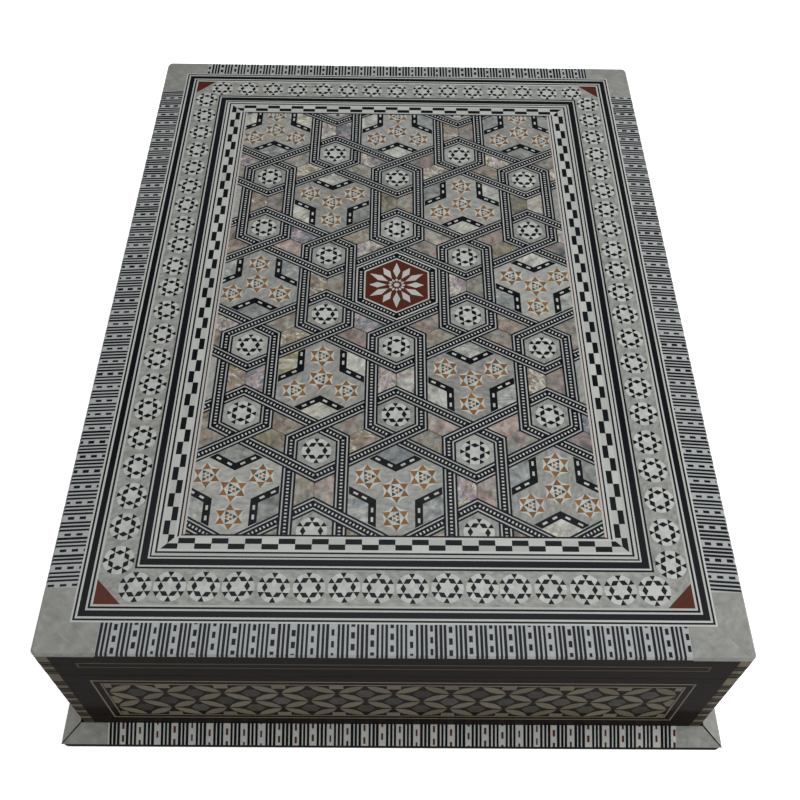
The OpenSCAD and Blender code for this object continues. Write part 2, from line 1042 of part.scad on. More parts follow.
module upper_hinge_screws() {
    color(brass)
        at_screws()
            translate([0, 0, lid_rim + leaf_t])
                mirror([0, 0, 1])
                    screw();
}

base_board();
base_felt();
front_wall();
right_wall();
back_wall();
left_wall();
plinth_front();
plinth_right();
plinth_back();
plinth_left();
front_inlay_panel();
right_inlay_panel();
back_inlay_panel();
left_inlay_panel();
body_corner_strips();
floor_pad();
front_lining();
right_lining();
back_lining();
left_lining();
left_lower_leaf();
right_lower_leaf();
left_hinge_pin();
right_hinge_pin();
lower_hinge_screws();
lid_board();
lid_front_rail();
lid_right_rail();
lid_back_rail();
lid_left_rail();
lid_front_veneer();
lid_right_veneer();
lid_back_veneer();
lid_left_veneer();
lid_corner_strips();
stripe_border_front();
stripe_border_right();
stripe_border_back();
stripe_border_left();
pearl_corner_front_left();
pearl_corner_front_right();
pearl_corner_back_right();
pearl_corner_back_left();
outer_frame();
star_border();
corner_triangles();
rosette_plates();
inner_frame();
checker_border();
line_frame();
field_panel();
field_straps();
field_tiles();
field_shell();
centre_medallion();
lid_pad();
lid_wall_linings();
left_upper_leaf();
right_upper_leaf();
upper_hinge_screws();
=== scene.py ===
"""An inlaid quran box: the finishes, inlay, linings and stage around its CAD frame.

The boards, veneers, plinth and hinges are the CAD nodes with their own finishes. The mosaic on the
lid, the lattice on the sides, the stripes and the velvet are built here. A flat layout is drawn in
millimetres on the face that carries it, and becomes metres when its mesh is made.
"""

import math
import random

import bpy
from mathutils import Matrix, Vector


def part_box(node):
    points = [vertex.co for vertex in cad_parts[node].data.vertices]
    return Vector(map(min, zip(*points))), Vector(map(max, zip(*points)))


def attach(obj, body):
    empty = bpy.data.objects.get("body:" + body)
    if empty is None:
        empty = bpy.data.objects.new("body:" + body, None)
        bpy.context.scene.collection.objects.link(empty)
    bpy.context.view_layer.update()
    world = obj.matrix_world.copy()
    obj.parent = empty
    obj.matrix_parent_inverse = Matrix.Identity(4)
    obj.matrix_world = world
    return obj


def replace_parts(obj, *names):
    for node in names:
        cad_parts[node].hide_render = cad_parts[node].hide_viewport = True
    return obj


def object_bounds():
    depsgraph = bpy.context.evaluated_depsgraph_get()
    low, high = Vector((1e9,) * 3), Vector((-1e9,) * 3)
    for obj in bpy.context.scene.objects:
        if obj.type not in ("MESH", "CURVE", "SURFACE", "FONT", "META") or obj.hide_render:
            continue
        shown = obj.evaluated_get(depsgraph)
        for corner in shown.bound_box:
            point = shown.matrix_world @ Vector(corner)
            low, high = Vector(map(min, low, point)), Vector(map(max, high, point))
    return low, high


bl_info = {
    "name": "Inlaid Quran Box",
    "version": (1, 0, 0),
    "blender": (4, 5, 0),
    "location": "View3D > Sidebar > Quran Box",
    "description": "Builds the inlay, linings and stage of an inlaid box around its CAD frame",
    "category": "Object",
}

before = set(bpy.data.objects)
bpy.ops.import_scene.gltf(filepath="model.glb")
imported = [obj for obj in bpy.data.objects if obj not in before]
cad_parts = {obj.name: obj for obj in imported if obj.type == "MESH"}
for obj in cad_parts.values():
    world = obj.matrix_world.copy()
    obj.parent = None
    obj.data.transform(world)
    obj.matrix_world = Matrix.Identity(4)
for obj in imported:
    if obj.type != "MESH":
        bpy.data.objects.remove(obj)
CAD_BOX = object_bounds()

MM = 0.001
THIRTY = math.radians(30)
TAN30 = math.tan(THIRTY)
COS30 = math.cos(THIRTY)

# Heights of the inlay's layers against the face of the veneer, in millimetres
BACKING = -0.5
GROUND = -0.06
MIDWAY = GROUND / 2
FLUSH = 0.0
# Inlay on the upright faces and the plinth stands this proud of them
PROUD = 0.08

BONE, BLACK, HORNBEAM = "polished_bone", "black_dyed_wood", "pale_hornbeam"

# The four sides, by the turn that brings the front to them
SIDES = {"front": 0, "right": 90, "back": 180, "left": 270}
ENDS = ("front", "back")


# Measures from the frame

def span(node):
    """Lowest and highest corner of a CAD node, in millimetres."""
    low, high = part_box(node)
    return low / MM, high / MM


TOP = CAD_BOX[1].z / MM
BOX_HALF = Vector((span("right_inlay_panel")[1].x, -span("front_inlay_panel")[0].y))
INLAY_DEPTH = TOP - span("lid_board")[1].z


# Flat shapes

def polar(radius, degrees, centre=(0.0, 0.0)):
    """The point at that radius and angle from the centre."""
    angle = math.radians(degrees)
    return (centre[0] + radius * math.cos(angle), centre[1] + radius * math.sin(angle))


def rectangle(x0, x1, y0, y1):
    return [(x0, y0), (x1, y0), (x1, y1), (x0, y1)]


def hexagon(radius, centre=(0.0, 0.0)):
    """A hexagon that stands on a corner."""
    return [polar(radius, 30 + 60 * k, centre) for k in range(6)]


def bar(start, end, width):
    """A rectangle of that width along the line from start to end."""
    along = (Vector(end) - Vector(start)).normalized() * (width / 2)
    side = Vector((-along.y, along.x))
    return [tuple(Vector(p) + s * side) for p, s in ((start, -1), (end, -1), (end, 1), (start, 1))]


def headed(origin, heading, points):
    """Points given as distances forward and to the left of an origin that looks along a heading."""
    forward = Vector(polar(1.0, heading))
    left = Vector((-forward.y, forward.x))
    return [tuple(Vector(origin) + forward * s + left * t) for s, t in points]


def signed_area(outline):
    following = outline[1:] + outline[:1]
    return sum(p[0] * q[1] - q[0] * p[1] for p, q in zip(outline, following)) / 2


def clipped(outline, region):
    """The part of a convex outline that lies in a convex counterclockwise region."""
    for a, b in zip(region, region[1:] + region[:1]):
        if not outline:
            break
        kept = []
        for p, q in zip(outline, outline[1:] + outline[:1]):
            p_in = (b[0] - a[0]) * (p[1] - a[1]) - (b[1] - a[1]) * (p[0] - a[0])
            q_in = (b[0] - a[0]) * (q[1] - a[1]) - (b[1] - a[1]) * (q[0] - a[0])
            if p_in >= 0:
                kept.append(p)
            if (p_in >= 0) != (q_in >= 0):
                t = p_in / (p_in - q_in)
                kept.append((p[0] + t * (q[0] - p[0]), p[1] + t * (q[1] - p[1])))
        outline = kept
    return outline


def side_axes(side):
    """Unit vectors along a side, to the right as one faces it, and out of it."""
    turn = math.radians(SIDES[side])
    along = Vector((math.cos(turn), math.sin(turn), 0.0))
    return along, Vector((along.y, -along.x, 0.0))


def of_side(side, size):
    """A pair of half sizes as (along this side, out to this side)."""
    return (size.x, size.y) if side in ENDS else (size.y, size.x)


def on_lid(side, along_by, out_by):
    """The point of the lid's plan that far along a side and out from the lid's middle."""
    along, out = side_axes(side)
    point = along * along_by + out * out_by
    return (point.x, point.y)


def edge(node, side):
    """Where a node's outline starts and ends along a side of the lid, and how far out it lies there."""
    low, high = span(node)
    along, out = side_axes(side)
    start_at, end_at = sorted((low.dot(along), high.dot(along)))
    return start_at, end_at, max(low.dot(out), high.dot(out))


def band(side, outer, inner):
    """One side of a mitred frame as a region of the plan, from its outer to its inner edge."""
    corners = [(outer[0], outer[2]), (outer[1], outer[2]), (inner[1], inner[2]), (inner[0], inner[2])]
    return [on_lid(side, *corner) for corner in corners]


def on_face(origin, along, up):
    """Matrix that carries a layout in millimetres onto a face, in metres: x along, y up, z out."""
    along = Vector(along).normalized()
    up = Vector(up).normalized()
    place = Matrix((along, up, along.cross(up))).transposed().to_4x4()
    place.translation = Vector(origin)
    return Matrix.Scale(MM, 4) @ place


LID_PLAN = on_face((0, 0, TOP), (1, 0, 0), (0, 1, 0))
# The field's pattern is set out from the medallion, and its rows lie slightly close
RED_LOW, RED_HIGH = span("centre_medallion")
RED_R = (RED_HIGH - RED_LOW).x / 2 / COS30
FIELD_AT = (RED_LOW + RED_HIGH) / 2
FIELD_CLOSE = (RED_HIGH - RED_LOW).y / 2 / RED_R
FIELD_PLAN = LID_PLAN @ Matrix.Translation(FIELD_AT.xy.to_3d()) @ Matrix.Diagonal((1, FIELD_CLOSE, 1, 1))


def placed(name, data, at=(0, 0, 0)):
    """A new object in the scene, at a place in metres."""
    made = bpy.data.objects.new(name, data)
    made.location = at
    bpy.context.scene.collection.objects.link(made)
    return made


class Mosaic:
    """Pieces of inlay, each a closed prism, that become one mesh with a slot for each finish."""

    SMALLEST = 0.01

    def __init__(self, place):
        self.place = place
        self.points = []
        self.faces = []
        self.slots = []
        self.finishes = []

    def lay(self, outline, finish, low=BACKING, high=GROUND, region=None, place=None):
        """Adds one piece, between two heights over the face and cut to a region where one is given."""
        if region:
            outline = clipped(outline, region)
        if len(outline) < 3 or abs(signed_area(outline)) < self.SMALLEST:
            return
        if signed_area(outline) < 0:
            outline = outline[::-1]
        if finish not in self.finishes:
            self.finishes.append(finish)
        place = place or self.place
        count = len(outline)
        first = len(self.points)
        for height in (low, high):
            self.points += [place @ Vector((x, y, height)) for x, y in outline]
        ring_of = range(count)
        self.faces.append([first + count + i for i in ring_of])
        self.faces.append([first + i for i in reversed(ring_of)])
        for i in ring_of:
            j = (i + 1) % count
            self.faces.append([first + i, first + j, first + count + j, first + count + i])
        self.slots += [self.finishes.index(finish)] * (count + 2)

    def set_in(self, outline, finish, region=None):
        """Adds a fine piece that lies on the ground tiles and is flush with the face."""
        self.lay(outline, finish, GROUND, FLUSH, region)

    def set_on(self, outline, finish, region=None):
        """Adds a piece that lies on an upright face and stands slightly proud of it."""
        self.lay(outline, finish, FLUSH, PROUD, region)

    def make(self, name, body, slot, *nodes):
        """Makes the mesh, rides it on a body and lets it stand for the CAD nodes named."""
        mesh = bpy.data.meshes.new(name)
        mesh.from_pydata(self.points, [], self.faces)
        mesh.polygons.foreach_set("material_index", self.slots)
        for finish in self.finishes:
            mesh.materials.append(material(finish))
        mesh.validate()
        piece = placed(name, mesh)
        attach(piece, body)
        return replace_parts(piece, *nodes)


# Finishes

def linear(colour):
    """An sRGB hex value as linear red, green and blue."""
    channels = [int(colour[i:i + 2], 16) / 255 for i in (1, 3, 5)]
    return tuple(c / 12.92 if c <= 0.04045 else ((c + 0.055) / 1.055) ** 2.4 for c in channels)


WHITE = linear("#ffffff")


def tone(name, share=1.0):
    """One of the user's colours, made lighter or darker by a share."""
    return tuple(min(1.0, c * share) for c in getattr(bpy.context.scene.quran_box_colours, name))


def around(name, spread, low, high):
    """A ramp's stops, from a darker to a lighter tone of one of the user's colours."""
    return [(low, tone(name, 1 - spread)), (high, tone(name, 1 + spread))]


def per_metre(size_mm):
    """A pattern's scale from the real size of its features."""
    return 1 / (size_mm * MM)


def node(tree, kind, values=None, links=None, stops=None, **settings):
    """Adds a node with its settings, the values of its sockets, what feeds them, and a ramp's stops."""
    made = tree.nodes.new(kind)
    for key, value in settings.items():
        setattr(made, key, value)
    for socket, value in (values or {}).items():
        made.inputs[socket].default_value = value
    for socket, source in (links or {}).items():
        tree.links.new(source, made.inputs[socket])
    if stops:
        elements = made.color_ramp.elements
        while len(elements) < len(stops):
            elements.new(1.0)
        for element, (position, colour) in zip(elements, stops):
            element.position = position
            element.color = (*colour, 1.0)
    return made


def start(name, **values):
    """A new material with its shader's constant values set, ready for patterns."""
    made = bpy.data.materials.new(name)
    made.use_nodes = True
    tree = made.node_tree
    tree.nodes.clear()
    words = {key.replace("_", " "): value for key, value in values.items()}
    shader = node(tree, "ShaderNodeBsdfPrincipled", words)
    node(tree, "ShaderNodeOutputMaterial", links={"Surface": shader.outputs["BSDF"]})
    return made, tree, shader


def streaks(tree, place, sizes_mm, **values):
    """A pattern drawn out along the axes, with features of these sizes in millimetres."""
    scale = [per_metre(size_mm) for size_mm in sizes_mm]
    drawn_out = node(tree, "ShaderNodeMapping", {"Scale": scale}, {"Vector": place}).outputs["Vector"]
    return node(tree, "ShaderNodeTexNoise", {"Scale": 1.0, **values}, {"Vector": drawn_out}).outputs["Fac"]


def blended(tree, first, second, share, stops):
    """A colour that follows two patterns, with the second one's share."""
    blend = node(tree, "ShaderNodeMix", {"Factor": share}, {"A": first, "B": second})
    ramp = node(tree, "ShaderNodeValToRGB", links={"Fac": blend.outputs["Result"]}, stops=stops)
    return ramp.outputs["Color"]


def surface(tree, shader, tint, pattern, strength, depth_mm, rough=None):
    """Feeds a shader its colour, and relief and roughness that follow one pattern."""
    relief = {"Strength": strength, "Distance": depth_mm * MM}
    bump = node(tree, "ShaderNodeBump", relief, {"Height": pattern})
    tree.links.new(tint, shader.inputs["Base Color"])
    tree.links.new(bump.outputs["Normal"], shader.inputs["Normal"])
    if rough:
        limits = {"To Min": rough[0], "To Max": rough[1]}
        uneven = node(tree, "ShaderNodeMapRange", limits, {"Value": pattern})
        tree.links.new(uneven.outputs["Result"], shader.inputs["Roughness"])


# Built-up lacquer over the inlay, and the thin wiped coat of the dark veneers
LACQUER = {"Coat_Weight": 0.7, "Coat_Roughness": 0.08, "Coat_IOR": 1.5, "Specular_IOR_Level": 0.0}
WIPED = {**LACQUER, "Coat_Weight": 0.1, "Coat_Roughness": 0.12}


def brushed_coat(tree, shader):
    """Lacquer laid on by hand: the coat is slightly wavy, so reflections waver."""
    wave_mm, depth_mm = 14, 0.1
    wave = node(
        tree, "ShaderNodeTexNoise", {"Scale": per_metre(wave_mm), "Detail": 2.0},
        {"Vector": node(tree, "ShaderNodeTexCoord").outputs["Object"]},
    )
    relief = {"Strength": 0.25, "Distance": depth_mm * MM}
    bump = node(tree, "ShaderNodeBump", relief, {"Height": wave.outputs["Fac"]})
    tree.links.new(bump.outputs["Normal"], shader.inputs["Coat Normal"])


def island_turned(tree):
    """Coordinates turned by a chance angle for each piece, and that piece's chance number."""
    chance = node(tree, "ShaderNodeNewGeometry").outputs["Random Per Island"]
    angle = node(tree, "ShaderNodeMath", {1: 2 * math.pi}, {0: chance}, operation="MULTIPLY")
    place = node(tree, "ShaderNodeTexCoord").outputs["Object"]
    turned = node(
        tree, "ShaderNodeVectorRotate", links={"Vector": place, "Angle": angle.outputs["Value"]},
        rotation_type="Z_AXIS",
    )
    return turned.outputs["Vector"], chance


def slip(name, colour, spread, grain_mm, length_mm, rough, piece_share=0.45, coat=LACQUER):
    """A thin slip under lacquer: grain runs along it, and its tone differs a little from its neighbours'."""
    made, tree, shader = start(name, **coat)
    turned, chance = island_turned(tree)
    grain = streaks(tree, turned, (length_mm, grain_mm, grain_mm), Detail=4.0, Roughness=0.6)
    tint = blended(tree, grain, chance, piece_share, around(colour, spread, low=0.28, high=0.72))
    uneven = (rough - 0.06, rough + 0.06)
    surface(tree, shader, tint, grain, strength=0.3, depth_mm=0.02, rough=uneven)
    brushed_coat(tree, shader)
    return made


def shell(name, stops, band_mm, piece_share, play, swirl=0.8, stretch=4.0, coat=LACQUER):
    """Nacre ground flat: growth bands drift across it, and each piece is from another shell.

    Each stop is a place on the ramp, a colour and its share. The colour is made lighter and darker in
    patches. This is partly the shell's own mottle and partly painted highlight and painted shade, standing
    for the light that real nacre throws back where its layers lie aslant to the cut.
    """
    mottle_and_glint_mm = 3.6
    made, tree, shader = start(name, **coat)
    turned, chance = island_turned(tree)
    bands_mm = (band_mm * stretch, band_mm, band_mm)
    growth = streaks(tree, turned, bands_mm, Detail=5.0, Roughness=0.55, Distortion=swirl)
    tint = blended(tree, growth, chance, piece_share, [(at, tone(*colour)) for at, *colour in stops])
    mottle_and_glints = node(
        tree, "ShaderNodeTexNoise",
        {"Scale": per_metre(mottle_and_glint_mm), "Detail": 4.0, "Roughness": 0.6, "Distortion": 0.5},
        {"Vector": turned},
    )
    # Painted light: the tint is made up to this share lighter or darker in patches, as painted highlight and
    # painted shade over the shell's own mottle
    light = node(
        tree, "ShaderNodeMapRange",
        {"From Min": 0.3, "From Max": 0.7, "To Min": 1 - play, "To Max": 1 + play},
        {"Value": mottle_and_glints.outputs["Fac"]},
    )
    lit = node(
        tree, "ShaderNodeVectorMath", links={0: tint, 1: light.outputs["Result"]}, operation="MULTIPLY"
    )
    surface(tree, shader, lit.outputs["Vector"], growth, strength=0.3, depth_mm=0.03, rough=(0.18, 0.4))
    brushed_coat(tree, shader)
    return made


def timber(name, colour, spread, figure_mm, pore_mm, rough, coat=None):
    """Sawn wood with its grain level along each side: figure in broad bands, pores in fine dashes."""
    # How many times longer a band or a pore is than wide
    drawn_out = 12
    made, tree, shader = start(name, **(coat or {}))
    place = node(
        tree, "ShaderNodeSeparateXYZ", links={"Vector": node(tree, "ShaderNodeTexCoord").outputs["Object"]}
    ).outputs
    level, cross = (
        node(tree, "ShaderNodeMath", links={0: place["X"], 1: place["Y"]}, operation=kind).outputs["Value"]
        for kind in ("ADD", "SUBTRACT")
    )
    grain = node(tree, "ShaderNodeCombineXYZ", links={"X": level, "Y": cross, "Z": place["Z"]})
    along = grain.outputs["Vector"]
    figure, pores = (
        streaks(tree, along, (long_mm, long_mm, long_mm / drawn_out), Detail=detail, Distortion=0.6)
        for long_mm, detail in ((figure_mm * drawn_out, 3.0), (pore_mm * drawn_out, 2.0))
    )
    tint = blended(tree, figure, pores, share=0.4, stops=around(colour, spread, low=0.3, high=0.7))
    uneven = (rough - 0.08, rough + 0.08)
    surface(tree, shader, tint, pores, strength=0.3, depth_mm=0.04, rough=uneven)
    if coat:
        brushed_coat(tree, shader)
    return made


def pile(name, colour, spread, tuft_mm, sheen, sheen_rough=0.5, tint_share=None):
    """Cut or pressed fibre: the tone drifts where the pile lies over, and a soft sheen rims it."""
    nap_mm = 18
    sheen_tint = tone(colour, tint_share) if tint_share else WHITE
    made, tree, shader = start(
        name, Roughness=0.95, Specular_IOR_Level=0.1,
        Sheen_Weight=sheen, Sheen_Roughness=sheen_rough, Sheen_Tint=(*sheen_tint, 1.0),
    )
    place = node(tree, "ShaderNodeTexCoord").outputs["Object"]
    nap, tuft = (
        node(
            tree, "ShaderNodeTexNoise", {"Scale": per_metre(size_mm), "Detail": detail}, {"Vector": place}
        ).outputs["Fac"]
        for size_mm, detail in ((nap_mm, 3.0), (tuft_mm, 2.0))
    )
    tint = blended(tree, nap, tuft, share=0.45, stops=around(colour, spread, low=0.3, high=0.7))
    surface(tree, shader, tint, tuft, strength=0.6, depth_mm=0.2)
    return made


def brass(name, colour, spread):
    """Brass brushed along the hinge: fine scratches run level and the low places have dulled."""
    scratch_l_mm, scratch_w_mm, dull_mm = 8, 0.15, 6
    made, tree, shader = start(name, Metallic=1.0)
    place = node(tree, "ShaderNodeTexCoord").outputs["Object"]
    scratch = streaks(tree, place, (scratch_l_mm, scratch_w_mm, scratch_w_mm), Detail=3.0)
    dull = node(
        tree, "ShaderNodeTexNoise", {"Scale": per_metre(dull_mm), "Detail": 3.0}, {"Vector": place}
    )
    tint = node(
        tree, "ShaderNodeValToRGB", links={"Fac": dull.outputs["Fac"]},
        stops=around(colour, spread, low=0.35, high=0.65),
    )
    surface(tree, shader, tint.outputs["Color"], scratch, strength=0.25, depth_mm=0.02, rough=(0.25, 0.45))
    return made


# Each finish with how it is made. Pores, fibres and brush marks are drawn coarser than the real ones,
# so that they show.
FINISHES = {
    # Sawn and polished bone: off-white, with short fine pores
    "polished_bone": (
        slip, {"colour": "bone", "spread": 0.12, "grain_mm": 0.5, "length_mm": 4.0, "rough": 0.35},
    ),
    # Wood dyed black to its core, with a cold cast under the lacquer
    "black_dyed_wood": (
        slip, {"colour": "black", "spread": 0.3, "grain_mm": 0.4, "length_mm": 5.0, "rough": 0.4},
    ),
    # Pale shell chips in glue, ground level: a warm grey with faint clouds
    "ground_shell": (
        slip,
        {
            "colour": "ground", "spread": 0.38, "grain_mm": 1.6, "length_mm": 3.0, "rough": 0.35,
            "piece_share": 0.2,
        },
    ),
    # Lemonwood stained with tea: a warm ochre
    "stained_lemonwood": (
        slip, {"colour": "ochre", "spread": 0.2, "grain_mm": 0.5, "length_mm": 4.0, "rough": 0.4},
    ),
    # Hornbeam: close-grained and pale, greyed by age
    "pale_hornbeam": (
        slip, {"colour": "hornbeam", "spread": 0.12, "grain_mm": 0.5, "length_mm": 6.0, "rough": 0.4},
    ),
    # Walnut sapwood: a paler brown than the heart beside it
    "walnut_sapwood": (
        slip,
        {
            "colour": "sapwood", "spread": 0.15, "grain_mm": 0.5, "length_mm": 8.0, "rough": 0.45,
            "coat": WIPED,
        },
    ),
    # Padauk: red-brown heartwood with open pores
    "padauk": (
        slip, {"colour": "red", "spread": 0.22, "grain_mm": 0.7, "length_mm": 7.0, "rough": 0.4},
    ),
    # Green-dyed bone for the smallest chips
    "green_dyed_bone": (
        slip, {"colour": "green", "spread": 0.2, "grain_mm": 0.5, "length_mm": 3.0, "rough": 0.35},
    ),
    # Pale fruitwood of the leaves on the sides, yellowed under lacquer
    "pale_fruitwood": (
        slip,
        {"colour": "leaf", "spread": 0.16, "grain_mm": 0.6, "length_mm": 6.0, "rough": 0.4, "coat": WIPED},
    ),
    # Mother of pearl in large pieces: silver grey with level growth bands
    "mother_of_pearl": (
        shell,
        {
            "stops": ((0.2, "pearl", 0.8), (0.45, "pearl"), (0.62, "pearl", 1.12), (0.8, "pearl", 0.92)),
            "band_mm": 2.2, "piece_share": 0.2, "play": 0.15,
        },
    ),
    # The field's diamonds: the brightest pearl, milky with cloudy bands; its lightest milk stop is partly
    # painted highlight
    "white_pearl": (
        shell,
        {
            "stops": (
                (0.22, "shell_blue", 1.1), (0.36, "milk", 0.7), (0.46, "shell_blue", 1.5),
                (0.52, "milk", 0.95), (0.66, "milk", 1.3), (0.78, "shell_gold"),
            ),
            "band_mm": 3.2, "piece_share": 0.45, "play": 0.45, "swirl": 1.6,
        },
    ),
    # Sea-ear shell cut across: mottled olive, rose and grey, with small painted highlights in white and lilac
    "sea_ear_shell": (
        shell,
        {
            "stops": (
                (0.25, "shell_blue", 0.8), (0.34, "shell_gold", 0.75), (0.42, "milk", 0.68),
                # The bright milk stop at 0.575 and the lilac stop are painted glints, standing for the
                # shell's iridescent lights
                (0.48, "shell_pink", 0.95), (0.54, "shell_gold", 0.85), (0.575, "milk", 1.4),
                (0.62, "shell_pink"), (0.65, "shell_lilac"), (0.68, "shell_blue", 1.1),
            ),
            "band_mm": 3.0, "piece_share": 0.4, "play": 0.5, "swirl": 1.0, "stretch": 1.8,
        },
    ),
    # The smooth face of the same shell: rose, brown or slate, each piece of one tone
    "rose_shell": (
        shell,
        {
            "stops": (
                (0.2, "shell_blue", 0.85), (0.33, "shell_pink", 0.9), (0.42, "milk", 0.62),
                (0.5, "shell_brown", 0.95), (0.56, "milk", 0.8), (0.64, "shell_pink", 1.15),
                (0.78, "milk", 1.1),
            ),
            "band_mm": 4.0, "piece_share": 0.55, "play": 0.52, "stretch": 2.0,
        },
    ),
    # River-mussel shell on the sides: dim, between green grey and rose
    "mussel_shell": (
        shell,
        {
            "stops": ((0.25, "dim_shell", 0.7), (0.5, "dim_shell"), (0.75, "dim_shell", 1.35)),
            "band_mm": 1.8, "piece_share": 0.5, "play": 0.2, "coat": WIPED,
        },
    ),
    # Walnut veneer, stained dark, with a thin coat
    "stained_walnut": (
        timber,
        {"colour": "walnut", "spread": 0.3, "figure_mm": 3.5, "pore_mm": 0.5, "rough": 0.4, "coat": WIPED},
    ),
    # Black-stained base and plinth edge, scuffed by the table
    "black_stained_wood": (
        timber,
        {"colour": "black", "spread": 0.35, "figure_mm": 3.0, "pore_mm": 0.5, "rough": 0.5, "coat": WIPED},
    ),
    # Planed beech: the boards behind the veneer, unfinished
    "planed_beech": (
        timber, {"colour": "beech", "spread": 0.16, "figure_mm": 4.0, "pore_mm": 0.8, "rough": 0.6},
    ),
    # Cotton velvet, glued over card: deep red, with a lighter bloom along its edges
    "cotton_velvet": (
        pile,
        {
            "colour": "velvet", "spread": 0.35, "tuft_mm": 0.5, "sheen": 0.6, "sheen_rough": 0.35,
            "tint_share": 3.0,
        },
    ),
    # Pressed wool felt: dull and even
    "wool_felt": (pile, {"colour": "felt", "spread": 0.25, "tuft_mm": 0.8, "sheen": 0.2}),
    # Drawn brass, brushed: a satin gold
    "drawn_brass": (brass, {"colour": "brass", "spread": 0.15}),
}


def material(name):
    """The finish of that name, made the first time it is asked for."""
    found = bpy.data.materials.get(name)
    if found:
        return found
    make, look = FINISHES[name]
    return make(name, **look)


def finish_nodes(finish, *names):
    """Gives CAD nodes a finish in place of their plain colour."""
    for name in names:
        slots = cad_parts[name].data.materials
        slots.clear()
        slots.append(material(finish))


# What a user would change

def length(name, description, millimetres):
    return bpy.props.FloatProperty(
        name=name, description=description, default=millimetres * MM, min=0.0, unit="LENGTH", precision=5
    )


def colour(name, description, hex_value):
    return bpy.props.FloatVectorProperty(
        name=name, description=description, default=linear(hex_value),
        min=0.0, max=1.0, size=3, subtype="COLOR",
    )


class QuranBoxSizes(bpy.types.PropertyGroup):
    """Sizes of the inlay"""

    rosette_r: length("Rosette radius", "Centre to the end of a petal", 5.9)
    rosette_tip_r: length("Rosette star radius", "Centre to a tip of the rosette's white star", 3.8)
    triangle_leg: length("Triangle leg", "Side of a red corner triangle along the border", 9.5)
    star_r: length("Star radius", "Centre to a tip of an ochre star", 5.8)
    cell_pitch: length("Cell pitch", "Centre to centre of the big hexagons of the field", 62.4)
    small_hexagon_r: length("Small hexagon", "Centre to a corner of a small hexagon's strap", 11.8)
    strap_w: length("Strap width", "Across a strap of the field", 5.6)
    medallion_r: length("Medallion radius", "Centre to a corner of the red hexagon", 16.1)
    checker_l: length("Checker length", "Length of a checker of the border", 6.0)
    stripe_pitch: length("Stripe pitch", "From one pale column of the striped veneer to the next", 6.85)
    stripe_line_w: length("Stripe line", "Width of a black line of the lid's striped veneer", 0.88)
    plinth_line_w: length("Plinth line", "Width of a black line of the plinth's striped veneer", 1.0)
    stripe_line_pitch: length("Stripe line pitch", "From one black line to the next", 1.55)
    dash_w: length("Dash width", "Width of a black dash on the lid's stripes", 1.2)
    dash_l: length("Dash length", "Length of a black dash on the lid's stripes", 2.3)
    dash_pitch: length("Dash pitch", "From one dash to the next on the lid", 4.3)
    red_dash_w: length("Red dash width", "Width of a red dash on the plinth", 0.9)
    red_dash_l: length("Red dash length", "Length of a red dash on the plinth", 2.6)
    red_dash_pitch: length("Red dash pitch", "From one dash to the next on the plinth", 5.0)
    leaf_pitch: length("Leaf pitch", "Length of the repeat of leaves on the sides", 20.6)
    leaf_w: length("Leaf width", "Across the middle of a leaf", 4.3)
    plinth_patch: length("Plinth patch", "Length of the pearl patch from the plinth's mitre", 18.5)


class QuranBoxColours(bpy.types.PropertyGroup):
    """Colours of the finishes"""

    bone: colour("Bone", "Polished bone", "#aeb0ac")
    black: colour("Black", "Black-dyed wood", "#121417")
    ground: colour("Ground", "Ground of pale shell", "#8e8f8a")
    ochre: colour("Ochre", "Stained lemonwood", "#7a5834")
    red: colour("Red", "Padauk", "#4d261b")
    green: colour("Green", "Green-dyed bone", "#2c463f")
    hornbeam: colour("Hornbeam", "Pale hornbeam of the stripes", "#9da0a0")
    sapwood: colour("Sapwood", "Walnut sapwood of the lid's side lines", "#5e594d")
    dim_shell: colour("Dim shell", "Dark shell of the sides", "#5b5851")
    leaf: colour("Leaf", "Pale fruitwood", "#938b79")
    pearl: colour("Pearl", "Mother of pearl", "#868782")
    milk: colour("Milky pearl", "Mother of pearl of the field's diamonds", "#9c9d96")
    shell_pink: colour("Pink shell", "Rose of the sea-ear shell", "#8b7b74")
    shell_brown: colour("Brown shell", "Brown of the sea-ear shell", "#857869")
    shell_blue: colour("Blue shell", "Slate blue of the sea-ear shell", "#6a7072")
    shell_gold: colour("Gold shell", "Olive gold of the sea-ear shell", "#8a8166")
    # Painted glint: this lilac stands for the iridescent lights of the sea-ear shell
    shell_lilac: colour("Lilac shell", "Brightest lights of the sea-ear shell", "#a698a3")
    walnut: colour("Walnut", "Dark walnut veneer", "#2a231e")
    beech: colour("Beech", "Beech boards", "#b78f66")
    velvet: colour("Velvet", "Cotton velvet", "#5c0f1b")
    felt: colour("Felt", "Wool felt", "#2c4431")
    brass: colour("Brass", "Drawn brass", "#b8934a")


def mm(name):
    """One of the user's sizes, in millimetres."""
    return getattr(bpy.context.scene.quran_box_sizes, name) / MM


# Patterns

